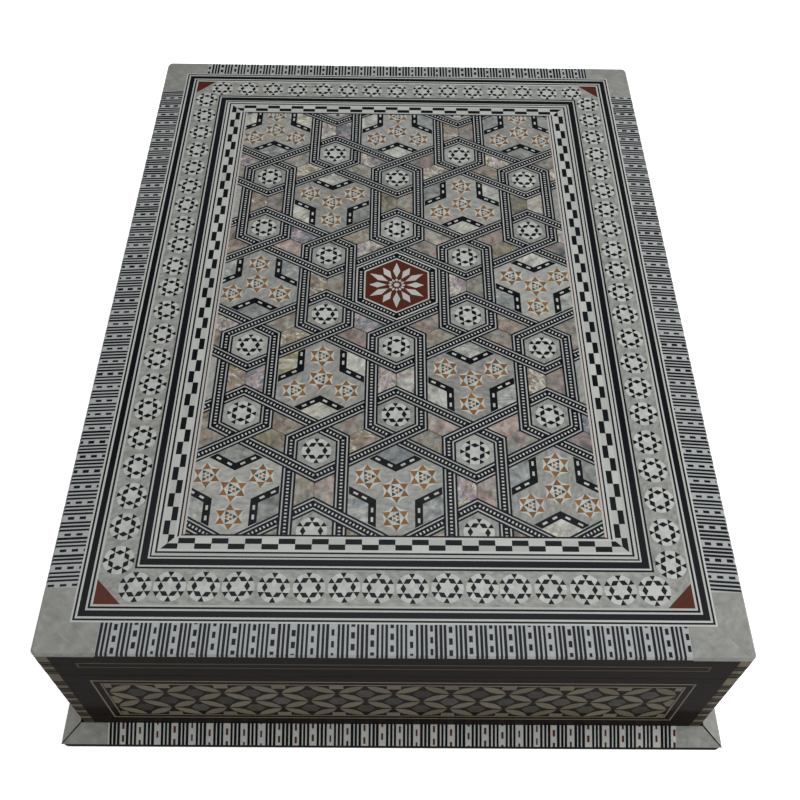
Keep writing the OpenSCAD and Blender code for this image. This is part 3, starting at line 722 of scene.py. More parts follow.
def lay_rosette(mosaic, centre, tip_turn, radius, tip_r, region=None):
    """A white six-pointed star in black diamonds, with black triangles and white petals round it."""
    # How far a triangle reaches from the star's tip to the petals' ends, and its half width to that
    reach_share, half_share = 0.95, 0.56
    inner_r = tip_r / (2 * COS30)
    outer_r = 2 * inner_r
    base_r = tip_r + (radius - tip_r) * reach_share
    half_base = (base_r - tip_r) * half_share
    base_far = math.hypot(base_r, half_base)
    base_turn = math.degrees(math.atan2(half_base, base_r))
    for k in range(6):
        turn = tip_turn + 60 * k
        tip = polar(tip_r, turn, centre)
        notch = polar(inner_r, turn + 30, centre)
        notch_before = polar(inner_r, turn - 30, centre)
        next_tip = polar(tip_r, turn + 60, centre)
        point = polar(outer_r, turn + 30, centre)
        petal_end = polar(radius, turn + 30, centre)
        base_right = polar(base_far, turn + base_turn, centre)
        base_left = polar(base_far, turn - base_turn, centre)
        next_left = polar(base_far, turn + 60 - base_turn, centre)
        mosaic.set_in([centre, notch_before, tip, notch], BONE, region)
        mosaic.set_in([point, next_tip, notch, tip], BLACK, region)
        mosaic.set_in([tip, base_left, base_right], BLACK, region)
        mosaic.set_in([point, tip, base_right, petal_end], BONE, region)
        mosaic.set_in([point, petal_end, next_left, next_tip], BONE, region)


def lay_star(mosaic, centre, turn, heading, radius, region):
    """An ochre six-pointed star with a white fringe, and a triangle of chips that points to a heading."""
    notch_r = radius / (2 * COS30)
    fringe_r = radius * 0.78
    green_at, green_r = radius * 0.33, radius * 0.19
    ochre_at, ochre_r = radius * 0.18, radius * 0.12
    for k in range(6):
        angle = turn + 60 * k
        tip = polar(radius, angle, centre)
        before = polar(notch_r, angle - 30, centre)
        after = polar(notch_r, angle + 30, centre)
        fringe = polar(fringe_r, angle + 30, centre)
        next_tip = polar(radius, angle + 60, centre)
        mosaic.set_in([tip, after, before], "stained_lemonwood", region)
        mosaic.set_in([tip, fringe, after], BONE, region)
        mosaic.set_in([fringe, next_tip, after], BONE, region)
        mosaic.lay([centre, before, after], BONE, GROUND, MIDWAY, region)
    for k in range(3):
        angle = heading + 120 * k
        green = polar(green_at, angle, centre)
        corners = [polar(green_r, angle + 120 * i, green) for i in range(3)]
        mosaic.lay(corners, "green_dyed_bone", MIDWAY, FLUSH, region)
        ochre = polar(ochre_at, angle + 60, centre)
        corners = [polar(ochre_r, angle + 15 + 90 * i, ochre) for i in range(4)]
        mosaic.lay(corners, "stained_lemonwood", MIDWAY, FLUSH, region)


def lay_ladder(mosaic, start_at, end_at, strip, region):
    """A black strip with a row of white squares along it."""
    pitch, square_l, square_w = 1.55, 0.68, 0.98
    mosaic.lay(strip, BLACK, region=region)
    a, b = Vector(start_at), Vector(end_at)
    run = (b - a).length
    count = int(run / pitch)
    along = (b - a).normalized()
    half = along * (square_l / 2)
    for k in range(count):
        middle = a + along * (run / 2 + (k - (count - 1) / 2) * pitch)
        mosaic.set_in(bar(middle - half, middle + half, square_w), BONE, region)


# Across a strap from edge to edge: finish and width in millimetres
STRAP_LINES = ((BLACK, 0.8), (HORNBEAM, 0.56), ("ladder", 2.88), (HORNBEAM, 0.56), (BLACK, 0.8))


def lay_strap(mosaic, corner, heading, ends, region):
    """One straight piece of strap. Its ends say where each is on the middle line, and which way it slants."""
    (s0, slant0), (s1, slant1) = ends
    near = -sum(width for _, width in STRAP_LINES) / 2
    for finish, width in STRAP_LINES:
        far = near + width
        strip = headed(
            corner, heading,
            [
                (s0 + slant0 * near, near), (s1 + slant1 * near, near),
                (s1 + slant1 * far, far), (s0 + slant0 * far, far),
            ],
        )
        if finish == "ladder":
            lay_ladder(mosaic, *headed(corner, heading, [(s0, 0), (s1, 0)]), strip, region)
        else:
            mosaic.lay(strip, finish, region=region)
        near = far


def lay_stripes(run, depth, line_w, dash, chance, lay_line, lay_dash):
    """Striped veneer: pale columns with dashes, and three black lines between each two.

    dash is a dash's width, length and pitch. lay_line(s0, s1) lays a black line between two places
    along, and lay_dash(s0, s1, t0, t1) a dash between two places along and two up.
    """
    shortest = 0.3
    # Cut by hand: shifts of a group in pitches and of a line in millimetres, and shares of the widths
    group_shift, line_shift = 0.03, 0.06
    line_shares, dash_shares = (0.85, 1.15), (0.75, 1.15)
    line_pitch = mm("stripe_line_pitch")
    dash_w, dash_l, dash_pitch = dash
    count = round(run / mm("stripe_pitch"))
    pitch = run / count
    for k in range(count):
        middle = -run / 2 + line_pitch + line_w + pitch * (k + chance.uniform(-group_shift, group_shift))
        for line in (-1, 0, 1):
            at = middle + line * line_pitch + chance.uniform(-line_shift, line_shift)
            half = line_w * chance.uniform(*line_shares) / 2
            lay_line(at - half, at + half)
        column = middle + pitch / 2
        t = chance.uniform(0, dash_pitch) - dash_l
        half = dash_w * chance.uniform(*dash_shares) / 2
        while t < depth:
            low, high = max(t, 0.0), min(t + dash_l, depth)
            if high - low > shortest:
                lay_dash(column - half, column + half, low, high)
            t += dash_pitch


# Pieces of the lid

# Shift along the side for each unit outward, of the stripes on the long sides
SLANTS = {"left": math.tan(math.radians(3.5)), "right": -math.tan(math.radians(3.5))}


def build_stripe_borders():
    """Striped veneer along the lid's four edges, eased over the edge as the board is."""
    ease, veneer, lip = 0.7, -0.8, 0.06
    dash = (mm("dash_w"), mm("dash_l"), mm("dash_pitch"))
    chance = random.Random(11)
    for side in SIDES:
        name = "stripe_border_" + side
        along, out = side_axes(side)
        start_at, end_at, lid_out = edge(name, side)
        inner = edge("outer_frame", side)[2]
        middle = (start_at + end_at) / 2
        # A profile of the border: height over the lid, and distance out from the box's middle
        bars = on_face((0, 0, TOP), (0, 0, 1), out)
        # The stripes of the long sides lie slightly askew, with their outer ends to the front
        slant = SLANTS.get(side, 0.0)
        mid_depth = (inner + lid_out) / 2
        askew = Matrix.Identity(4)
        askew[2][1] = slant
        askew[2][3] = -slant * mid_depth
        mosaic = Mosaic(on_face((0, 0, TOP), along, -out))

        def profile(top):
            far = lid_out + top
            return [(veneer, inner), (veneer, far), (-ease + top, far), (top, far - ease), (top, inner)]

        def lay_line(s0, s1):
            mosaic.lay(profile(0.0), BLACK, middle + s0, middle + s1, place=bars @ askew)

        def lay_dash(s0, s1, t0, t1):
            corners = [(s, lid_out - ease - t) for s, t in rectangle(s0, s1, t0, t1)]
            mosaic.set_in([(middle + s + slant * (far - mid_depth), -far) for s, far in corners], BLACK)

        backing = [(-INLAY_DEPTH, inner), (-INLAY_DEPTH, lid_out), (veneer, lid_out), (veneer, inner)]
        mosaic.lay(backing, "stained_walnut", start_at, end_at, place=bars)
        mosaic.lay(profile(-lip), HORNBEAM, start_at, end_at, place=bars)
        depth = lid_out - ease - inner
        lay_stripes(end_at - start_at, depth, mm("stripe_line_w"), dash, chance, lay_line, lay_dash)
        mosaic.make(name + "_inlay", "lid", "striped_inlay", name)


def lay_lines(mosaic, name, side_lines, end_lines):
    """A mitred frame of lines, each by its finish and width from the outside in."""
    side_w, end_w = (sum(width for _, width in lines) for lines in (side_lines, end_lines))
    for side in SIDES:
        lines, depth, mitre = (end_lines, end_w, side_w) if side in ENDS else (side_lines, side_w, end_w)
        start_at, end_at, out = edge(name, side)
        region = band(side, (start_at, end_at, out), (start_at + mitre, end_at - mitre, out - depth))
        for finish, width in lines:
            corners = rectangle(start_at, end_at, out - width, out)
            mosaic.lay([on_lid(side, *corner) for corner in corners], finish, -INLAY_DEPTH, FLUSH, region)
            out -= width


# Lines of the frames from the outside in, by finish and width in millimetres
OUTER_LINES = (
    (BONE, 0.7), (BLACK, 0.75), (BONE, 0.75), (BLACK, 2.3), (BONE, 0.7), (BLACK, 0.8), (BONE, 0.8),
)
INNER_LINES = (
    (BLACK, 0.75), (BONE, 0.65), (BLACK, 2.6), (BONE, 0.6),
    (BLACK, 0.6), (BONE, 1.05), (BLACK, 0.75), (BONE, 1.0),
)
FIELD_SIDE_LINES = ((BONE, 1.0), (BLACK, 0.65), (BONE, 0.85), ("padauk", 0.5), (BONE, 0.8))
FIELD_END_LINES = ((BONE, 0.95), (BLACK, 0.75))


def build_line_frames():
    """The three frames of black and white lines round the field."""
    for name, side_lines, end_lines in (
        ("outer_frame", OUTER_LINES, OUTER_LINES),
        ("inner_frame", INNER_LINES, INNER_LINES),
        ("line_frame", FIELD_SIDE_LINES, FIELD_END_LINES),
    ):
        mosaic = Mosaic(LID_PLAN)
        lay_lines(mosaic, name, side_lines, end_lines)
        mosaic.make(name + "_lines", "lid", "black_inlay", name)


# Rosettes along each side of the star border as counted in the photograph, their share of the full
# size, and how far the first and last stand from the inner frame's corners
ROSETTES = {
    "front": (16, 1.0, 1.0),
    "right": (21, 0.97, 3.4),
    "back": (15, 0.93, 1.0),
    "left": (21, 0.97, 3.4),
}


def build_star_border():
    """The border of rosettes on pale shell, with a red triangle in each corner."""
    leg, rosette_r, tip_r = mm("triangle_leg"), mm("rosette_r"), mm("rosette_tip_r")
    # Each rosette was set by hand, a little off its place and turned, with a star of its own size
    off_along, off_across, twist, star_shares = 0.35, 0.3, 6, (0.96, 1.03)
    chance = random.Random(23)
    mosaic = Mosaic(LID_PLAN)
    for side, (count, share, inset) in ROSETTES.items():
        outer0, outer1, outer_out = edge("star_border", side)
        inner0, inner1, inner_out = edge("inner_frame", side)
        ground = [
            (outer0 + leg, outer_out),
            (outer1 - leg, outer_out),
            (outer1 - leg / 2, outer_out - leg / 2),
            (inner1, inner_out),
            (inner0, inner_out),
            (outer0 + leg / 2, outer_out - leg / 2),
        ]
        mosaic.lay([on_lid(side, *p) for p in ground], "ground_shell", -INLAY_DEPTH, GROUND)
        middle = (outer_out + inner_out) / 2
        first = inner0 + inset
        step = (inner1 - inset - first) / (count - 1)
        for k in range(count):
            s = first + step * k + chance.uniform(-off_along, off_along)
            centre = on_lid(side, s, middle + chance.uniform(-off_across, off_across))
            turn = SIDES[side] + 90 + chance.uniform(-twist, twist)
            star_r = tip_r * share * chance.uniform(*star_shares)
            lay_rosette(mosaic, centre, turn, rosette_r * share, star_r)
    mosaic.make("star_border_rosettes", "lid", "pearl", "star_border", "rosette_plates")
    finish_nodes("padauk", "corner_triangles")


def build_checker_border():
    """Two staggered rows of black and white checkers."""
    mosaic = Mosaic(LID_PLAN)
    for side in SIDES:
        outer, inner = edge("checker_border", side), edge("line_frame", side)
        region = band(side, outer, inner)
        start_at, end_at, outer_out = outer
        inner_out = inner[2]
        row_w = (outer_out - inner_out) / 2
        count = 2 * round((end_at - start_at) / mm("checker_l") / 2)
        step = (end_at - start_at) / count
        for row in range(2):
            for k in range(count):
                x = start_at + k * step
                corners = rectangle(x, x + step, inner_out + row * row_w, inner_out + (row + 1) * row_w)
                finish = BLACK if (k + row) % 2 else BONE
                mosaic.lay([on_lid(side, *p) for p in corners], finish, -INLAY_DEPTH, FLUSH, region)
    mosaic.make("checker_border_checkers", "lid", "black_inlay", "checker_border")


# The big hexagons of the field, row by row from the back: T has a star towards the back,
# B towards the front, and M is the medallion
CELL_ROWS = ("TTT", "BT", "TMB", "TB", "BBT")


def field_cells(pitch):
    """Centre and kind of each big hexagon that shows, with None for those cut down to their straps."""
    half_rows = len(CELL_ROWS) // 2
    cells = {}
    for row in range(-half_rows - 1, half_rows + 2):
        kinds = CELL_ROWS[half_rows - row] if abs(row) <= half_rows else ""
        shift = (len(kinds) - 1) / 2 if kinds else 1 - 0.5 * (row % 2)
        for column in range(-2, 3):
            x = (column + 0.5 * (row % 2)) * pitch
            index = round(x / pitch + shift)
            kind = kinds[index] if 0 <= index < len(kinds) else None
            cells[(x, row * pitch * COS30)] = kind
    return cells


def cell_inner_r():
    """Centre to a corner of a big hexagon, inside its straps."""
    return mm("cell_pitch") / (2 * COS30) - mm("small_hexagon_r") - mm("strap_w") * TAN30


def lay_cell(mosaic, centre, kind, region, chance):
    """The stars, chevrons and shell diamonds of one big hexagon."""
    chevron_w, chevron_gap, dash_w, dash_l = 3.0, 0.4, 0.9, 2.0
    # Where the dashes lie along a chevron's arm, and how far each star and dash may be off by hand
    dash_at, dash_shift = (0.3, 0.74), 0.06
    twist, star_shares = 5, (0.96, 1.04)
    first = 90 if kind == "T" else 30
    inner_r = cell_inner_r()
    star_far = inner_r * 0.585
    side = inner_r * 0.43
    outer_side = side + chevron_w / COS30

    def star(place):
        turn = 90 + chance.uniform(-twist, twist)
        heading = turn + chance.choice((90, -90, -90))
        lay_star(mosaic, place, turn, heading, mm("star_r") * chance.uniform(*star_shares), region)

    star(centre)
    for k in range(3):
        star(polar(star_far, first + 120 * k, centre))
        corner_turn = first + 60 + 120 * k
        corner = polar(inner_r, corner_turn, centre)
        arms = [polar(side, corner_turn + turn, corner) for turn in (120, 240)]
        apex = polar(side, corner_turn + 180, corner)
        mosaic.lay([corner, arms[0], apex, arms[1]], "white_pearl", GROUND, MIDWAY, region)
        outer_apex = polar(outer_side, corner_turn + 180, corner)
        for arm, turn in zip(arms, (120, 240)):
            outer_arm = polar(outer_side, corner_turn + turn, corner)
            arm = Vector(arm).lerp(Vector(apex), chevron_gap / side)
            outer_arm = Vector(outer_arm).lerp(Vector(outer_apex), chevron_gap / outer_side)
            mosaic.lay([apex, tuple(arm), tuple(outer_arm), outer_apex], BLACK, GROUND, MIDWAY, region)
            start_at = (Vector(apex) + Vector(outer_apex)) / 2
            end_at = (arm + outer_arm) / 2
            half = (end_at - start_at).normalized() * (dash_l / 2)
            for share in dash_at:
                middle = start_at.lerp(end_at, share + chance.uniform(-dash_shift, dash_shift))
                mosaic.lay(bar(middle - half, middle + half, dash_w), BONE, MIDWAY, FLUSH, region)


def build_field():
    """The interlaced field: straps that pass over and under, hexagons, stars and coloured shell."""
    low, high = (corner - FIELD_AT for corner in span("field_panel"))
    region = rectangle(low.x, high.x, low.y / FIELD_CLOSE, high.y / FIELD_CLOSE)
    pitch, strap_w, small_r = mm("cell_pitch"), mm("strap_w"), mm("small_hexagon_r")
    reach = pitch / (2 * COS30)
    slant = strap_w * TAN30
    exchanged, twist = 0.15, 3
    # Half a bow tie of shell, as distances towards the next small hexagon and to the left
    half_gap = 0.25
    waist = small_r + slant
    wide = small_r * COS30 - strap_w / 2
    half_tie = [
        (waist - half_gap * TAN30, half_gap),
        (reach - waist + half_gap * TAN30, half_gap),
        (reach - waist + wide * TAN30, wide),
        (waist - wide * TAN30, wide),
    ]
    chance = random.Random(37)
    mosaic = Mosaic(FIELD_PLAN)
    mosaic.lay(region, "ground_shell", -INLAY_DEPTH, BACKING)
    for centre, kind in field_cells(pitch).items():
        if kind != "M":
            mosaic.lay(hexagon(cell_inner_r(), centre), "ground_shell", region=region)
        if kind in ("T", "B"):
            lay_cell(mosaic, centre, kind, region, chance)
        for turn in (90, 270):
            small = polar(reach, turn, centre)
            mosaic.lay(hexagon(small_r - slant, small), "ground_shell", region=region)
            star_turn = chance.choice((0, 30)) + chance.uniform(-twist, twist)
            lay_rosette(mosaic, small, star_turn, mm("rosette_r"), mm("rosette_tip_r"), region)
            for k in range(3):
                heading = turn + 120 * k
                corner = polar(small_r, heading + 120, small)
                for ends in (
                    ((0, -TAN30), (reach - slant, TAN30)),
                    ((reach + slant, TAN30), (reach + small_r, TAN30)),
                ):
                    lay_strap(mosaic, corner, heading, ends, region)
                # Each bow tie has a smooth half and a bright one, with a few exchanged
                smooth = (turn == 270) != (chance.random() < exchanged)
                finish = "rose_shell" if smooth else "sea_ear_shell"
                mosaic.lay(headed(small, heading, half_tie), finish, region=region)
    mosaic.make("field_mosaic", "lid", "pearl", "field_panel", "field_straps", "field_tiles", "field_shell")


def petal(turn, root, wide_at, half_turn, tip):
    """A pointed petal along a radius, by its distances from the middle."""
    right, left = (polar(wide_at, turn + by) for by in (-half_turn, half_turn))
    return [polar(root, turn), right, polar(tip, turn), left]


def build_medallion():
    """The red hexagon in the middle, its ladder frame, and a plain white rosette of twelve petals."""
    radius = mm("medallion_r")
    frame_r = cell_inner_r()
    line, button_r = 0.8, 1.3
    long_share, short_share = 0.86, 0.76
    mosaic = Mosaic(FIELD_PLAN)
    mosaic.lay(hexagon(radius), "padauk")
    edges = (radius, radius + line, frame_r - line, frame_r)
    for k in range(6):
        turns = (30 + 60 * k, 90 + 60 * k)
        for i, finish in enumerate((BONE, "ladder", BONE)):
            inner = [polar(edges[i], turn) for turn in turns]
            outer = [polar(edges[i + 1], turn) for turn in turns]
            strip = [inner[0], outer[0], outer[1], inner[1]]
            if finish == "ladder":
                middle = (edges[i] + edges[i + 1]) / 2
                lay_ladder(mosaic, polar(middle, turns[0]), polar(middle, turns[1]), strip, None)
            else:
                mosaic.lay(strip, finish)
    for k in range(12):
        petal_tip = radius * (long_share if k % 2 else short_share)
        mosaic.set_in(petal(30 * k, root=4.4, wide_at=8.8, half_turn=11, tip=petal_tip), BONE)
        mosaic.set_in(petal(30 * k, root=2.0, wide_at=3.0, half_turn=13, tip=4.0), BONE)
    mosaic.set_in([polar(button_r, 30 * k) for k in range(12)], BONE)
    mosaic.make("medallion_rosette", "lid", "red_wood", "centre_medallion")


# Faces of the box

def face_of(side, z):
    """Place of an upright face of the box: x along the side, y up from that height."""
    along, out = side_axes(side)
    origin = out * of_side(side, BOX_HALF)[1]
    return on_face((origin.x, origin.y, z), along, (0, 0, 1))


def lay_rectangle_line(mosaic, half_w, low, high, line, finish):
    """A thin mitred rectangle of line on an upright face."""
    outer = rectangle(-half_w, half_w, low, high)
    inner = rectangle(-half_w + line, half_w - line, low + line, high - line)
    for k in range(4):
        j = (k + 1) % 4
        mosaic.set_on([outer[k], outer[j], inner[j], inner[k]], finish)


def build_lid_sides():
    """The dark faces of the lid, each with a long pale rectangle."""
    line, margin, low, high = 0.8, 14.0, -11.2, -6.8
    for side in SIDES:
        finish_nodes("stained_walnut", "lid_" + side + "_veneer")
        mosaic = Mosaic(face_of(side, TOP))
        half_w = of_side(side, BOX_HALF)[0] - margin
        lay_rectangle_line(mosaic, half_w, low, high, line, "walnut_sapwood")
        mosaic.make("lid_" + side + "_lines", "lid", "walnut_veneer")


def lay_lattice(mosaic, half_w, low, high):
    """Pale leaves in a net of diamonds, with a shell hexagon in each cell and half cells at the edges."""
    region = rectangle(-half_w, half_w, low, high)
    rows = 4
    step = (high - low) / rows
    columns = round(2 * half_w / mm("leaf_pitch"))
    pitch = 2 * half_w / columns
    leaf_half = mm("leaf_w") / 2
    # One edge of a leaf and then the other, as shares of its length and of its half width
    tip, haunch, haunch_out = 0.06, 0.27, 0.72
    leaf_edge = [(tip, 0.0), (haunch, -haunch_out), (0.5, -1.0), (1 - haunch, -haunch_out), (1 - tip, 0.0)]
    leaf_edge += [(along, -out) for along, out in leaf_edge[3:0:-1]]
    hexagon_half, flat_share = 3.6, 0.45
    flat_half = hexagon_half * flat_share
    half_piece_half_w, half_piece_h = 2.6, 3.2
    for row in range(rows + 1):
        odd = row % 2
        for k in range(-1, columns + 2):
            node_at = Vector((-half_w + pitch * (k + (0 if odd else 0.5)), low + step * row))
            for lean in (-0.5, 0.5):
                line = Vector((pitch * lean, step))
                swell = Vector((-line.y, line.x)).normalized() * leaf_half
                leaf = [tuple(node_at + line * along + swell * out) for along, out in leaf_edge]
                mosaic.set_on(leaf, "pale_fruitwood", region)
            cell = node_at + Vector((pitch / 2, 0.0))
            if 0 < row < rows:
                corners = [
                    (cell.x - hexagon_half, cell.y),
                    (cell.x - flat_half, cell.y - hexagon_half),
                    (cell.x + flat_half, cell.y - hexagon_half),
                    (cell.x + hexagon_half, cell.y),
                    (cell.x + flat_half, cell.y + hexagon_half),
                    (cell.x - flat_half, cell.y + hexagon_half),
                ]
                at_end = abs(cell.x) > half_w - hexagon_half
                mosaic.set_on(corners, "pale_fruitwood" if at_end else "mussel_shell", region)
            else:
                x0, x1 = cell.x - half_piece_half_w, cell.x + half_piece_half_w
                foot = cell.y - half_piece_h if row else cell.y
                mosaic.set_on(rectangle(x0, x1, foot, foot + half_piece_h), "pale_fruitwood", region)


def build_body_sides():
    """The dark panels of the body: a double line round a lattice of leaves and shell."""
    line, margin, inset, gap = 0.6, 15.0, 3.0, 0.3
    low, high = 13.7, 54.0
    for side in SIDES:
        finish_nodes("stained_walnut", side + "_inlay_panel")
        mosaic = Mosaic(face_of(side, 0.0))
        half_w = of_side(side, BOX_HALF)[0] - margin
        for room in (0.0, inset):
            lay_rectangle_line(mosaic, half_w - room, low + room, high - room, line, "pale_fruitwood")
        room = inset + line + gap
        lay_lattice(mosaic, half_w - room, low + room, high - room)
        mosaic.make(side + "_lattice", "body", "pearl")


def corner_band(corner_r, width, inner, outer):
    """Outline of a strip that bends round a box corner at the origin, between two heights over its faces."""
    steps = 5
    paths = []
    for height in (inner, outer):
        arc = [
            (-corner_r + (corner_r + height) * math.cos(a), -corner_r + (corner_r + height) * math.sin(a))
            for a in (k * math.pi / 2 / steps for k in range(steps + 1))
        ]
        paths.append([(height, -width), *arc, (-width, height)])
    return paths[1] + paths[0][::-1]


def build_corner_strips():
    """Striped veneer on the upright corners, its stripes level and clear of the bevelled back edges."""
    corner_r, width, bevel = 2.5, 5.5, 1.5
    pitch, line_w, line_pitch = mm("stripe_pitch"), mm("stripe_line_w"), mm("stripe_line_pitch")
    outline = corner_band(corner_r, width, 0.0, PROUD)
    for name, body in (("body_corner_strips", "body"), ("lid_corner_strips", "lid")):
        finish_nodes("pale_fruitwood", name)
        low, high = span(name)
        if body == "body":
            back_low, back_high = low.z, span("back_inlay_panel")[1].z - bevel
        else:
            back_low, back_high = span("lid_back_veneer")[0].z + bevel, high.z
        mosaic = Mosaic(None)
        for sx, sy in ((-1, -1), (-1, 1), (1, -1), (1, 1)):
            place = Matrix.Scale(MM, 4) @ Matrix.Translation((sx * BOX_HALF.x, sy * BOX_HALF.y, 0.0))
            plan = [(x * sx, y * sy) for x, y in outline]
            z = low.z + line_pitch * 2
            while z < high.z - line_pitch * 2:
                for line in (-1, 0, 1):
                    foot = z + line * line_pitch - line_w / 2
                    if sy < 0 or back_low <= foot <= back_high - line_w:
                        mosaic.lay(plan, "stained_walnut", foot, foot + line_w, place=place)
                z += pitch
        mosaic.make(name + "_lines", body, "striped_inlay")


def build_plinth():
    """Striped veneer on the plinth's sloping top, with pearl at its mitred corners."""
    edge_h, margin, mitre_w = 2.5, 0.15, 0.5
    # The pale ground lies a little lower than the lines and dashes in it
    ground_h = PROUD * 0.7
    dash = (mm("red_dash_w"), mm("red_dash_l"), mm("red_dash_pitch"))
    chance = random.Random(53)
    for side in SIDES:
        name = "plinth_" + side
        finish_nodes("black_stained_wood", name)
        along, out = side_axes(side)
        low, high = span(name)
        far = max(abs(low.dot(out)), abs(high.dot(out)))
        near_along, near = of_side(side, BOX_HALF)
        foot = out * far
        slope = -out * (far - near) + Vector((0, 0, high.z - edge_h))
        rise = slope.length - margin
        end_at = near_along + (far - near)
        region = [
            (-end_at + margin, margin), (end_at - margin, margin), (near_along, rise), (-near_along, rise),
        ]
        mosaic = Mosaic(on_face((foot.x, foot.y, edge_h), along, slope))
        run = 2 * (end_at - mm("plinth_patch"))
        mosaic.lay(rectangle(-run / 2, run / 2, margin, rise), BONE, 0.0, ground_h, region)
        for sign in (-1, 1):
            x0, x1 = sorted((sign * run / 2, sign * end_at))
            mosaic.lay(rectangle(x0, x1, margin, rise), "mother_of_pearl", 0.0, ground_h, region)
            mitre = bar((sign * near_along, rise), (sign * end_at, 0.0), mitre_w)
            mosaic.lay(mitre, "stained_walnut", ground_h, PROUD, region)

        def lay_line(s0, s1):
            mosaic.lay(rectangle(s0, s1, margin, rise), BLACK, ground_h, PROUD, region)

        def lay_dash(s0, s1, t0, t1):
            mosaic.lay(rectangle(s0, s1, margin + t0, margin + t1), "padauk", ground_h, PROUD)

        lay_stripes(run, rise - margin, mm("plinth_line_w"), dash, chance, lay_line, lay_dash)
        mosaic.make(name + "_stripes", "body", "striped_inlay")


# Linings

def soft_panel(name, low, high, facing):
    """A padded panel in a box: flat at the back, crowned at the front, with soft edges."""
    step, crown = 4.0, 0.55
    axis = max(range(3), key=lambda i: abs(facing[i]))
    first, second = [i for i in range(3) if i != axis]
    outward = 1 if facing[axis] > 0 else -1
    back = low[axis] if outward > 0 else high[axis]
    thick = high[axis] - low[axis]
    counts = [max(4, round((high[i] - low[i]) / step)) for i in (first, second)]

    def share(k, count):
        return 0.5 - 0.5 * math.cos(math.pi * k / count)

    points, faces = [], []
    rows = counts[1] + 1
    for front in (0, 1):
        for i in range(counts[0] + 1):
            for j in range(rows):
                place = [0.0, 0.0, 0.0]
                full = 1.0
                for index, k, count in ((first, i, counts[0]), (second, j, counts[1])):
                    place[index] = low[index] + (high[index] - low[index]) * share(k, count)
                    near = min(place[index] - low[index], high[index] - place[index])
                    soft = min(1.0, near / (2 * thick))
                    full *= math.sqrt(max(0.0, 1 - (1 - soft) ** 2))
                depth = thick * (1 - crown + crown * full) if front else 0.0
                place[axis] = back + outward * depth
                points.append(Vector(place) * MM)
    half = (counts[0] + 1) * rows
    flip = (axis == 1) != (outward < 0)

    def put(corners):
        faces.append(corners[::-1] if flip else corners)

    for i in range(counts[0]):
        for j in range(counts[1]):
            a, b, c, d = i * rows + j, (i + 1) * rows + j, (i + 1) * rows + j + 1, i * rows + j + 1
            put([half + a, half + b, half + c, half + d])
            put([d, c, b, a])
    border = [i * rows for i in range(counts[0])]
    border += [counts[0] * rows + j for j in range(counts[1])]
    border += [i * rows + counts[1] for i in range(counts[0], 0, -1)]
    border += list(range(counts[1], 0, -1))
    for a, b in zip(border, border[1:] + border[:1]):
        put([a, b, half + b, half + a])
    mesh = bpy.data.meshes.new(name)
    mesh.from_pydata(points, [], faces)
    mesh.materials.append(material("cotton_velvet"))
    mesh.shade_smooth()
    return placed(name, mesh)


def lid_lining(side):
    """Lowest and highest corner of one of the four linings round the lid's inside."""
    low, high = span("lid_wall_linings")
    wall_low, wall_high = span("front_lining")
    thick = wall_high.y - wall_low.y
    axis = 1 if side in ENDS else 0
    if side_axes(side)[1][axis] > 0:
        low[axis] = high[axis] - thick
    else:
        high[axis] = low[axis] + thick
    if side not in ENDS:
        low.y += thick
        high.y -= thick
    return low, high


def build_linings():
    """Velvet on the floor, the walls and the lid's underside."""
    inward = {side: -side_axes(side)[1] for side in SIDES}
    panels = [("floor_pad_velvet", "body", "floor_pad", span("floor_pad"), (0, 0, 1))]
    for side in SIDES:
        lining = side + "_lining"
        panels.append((lining + "_velvet", "body", lining, span(lining), inward[side]))
    panels.append(("lid_pad_velvet", "lid", "lid_pad", span("lid_pad"), (0, 0, -1)))
    for side in SIDES:
        name = "lid_" + side + "_lining_velvet"
        panels.append((name, "lid", "lid_wall_linings", lid_lining(side), inward[side]))
    for name, body, lining, (low, high), facing in panels:
        piece = soft_panel(name, low, high, facing)
        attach(piece, body)
        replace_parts(piece, lining)


def build_felt():
    """Felt glued under the base, with its corners cut round."""
    low, high = span("base_felt")
    corner_r, steps = 3.0, 4
    outline = []
    for k, (sx, sy) in enumerate(((1, 1), (-1, 1), (-1, -1), (1, -1))):
        centre = (sx * (high.x - corner_r), sy * (high.y - corner_r))
        outline += [polar(corner_r, 90 * k + 90 * i / steps, centre) for i in range(steps + 1)]
    mosaic = Mosaic(Matrix.Scale(MM, 4))
    mosaic.lay(outline, "wool_felt", low.z, high.z)
    piece = mosaic.make("base_felt_sheet", "body", "felt", "base_felt")


BRASS = (
    "left_lower_leaf", "right_lower_leaf", "left_upper_leaf", "right_upper_leaf",
    "left_hinge_pin", "right_hinge_pin", "lower_hinge_screws", "upper_hinge_screws",
)
CORNERS = ("front_left", "front_right", "back_right", "back_left")


def build_boards():
    """Finishes of the boards, the hinges and the lid's pearl corners, whose shapes are the CAD's."""
    for side in SIDES:
        finish_nodes("planed_beech", side + "_wall", "lid_" + side + "_rail")
    finish_nodes("planed_beech", "lid_board")
    finish_nodes("black_stained_wood", "base_board")
    finish_nodes("drawn_brass", *BRASS)
    for corner in CORNERS:
        finish_nodes("mother_of_pearl", "pearl_corner_" + corner)


# Stage

CAMERA_AT = Vector((-2.65, -292.3, 397.6)) * MM
CAMERA_TO = Vector((1.6, -58.7, 78.0)) * MM
CAMERA_ROLL = math.radians(1.39)
CAMERA_LENS = 43.54


def seen_ray(tree):
    """One for the rays that show the backdrop: the camera's, and those in gloss and glass."""
    path = node(tree, "ShaderNodeLightPath")
    seen = path.outputs["Is Camera Ray"]
    for other in ("Is Glossy Ray", "Is Transmission Ray"):
        seen = node(
            tree, "ShaderNodeMath", links={0: seen, 1: path.outputs[other]}, operation="MAXIMUM"
        ).outputs["Value"]
    return seen


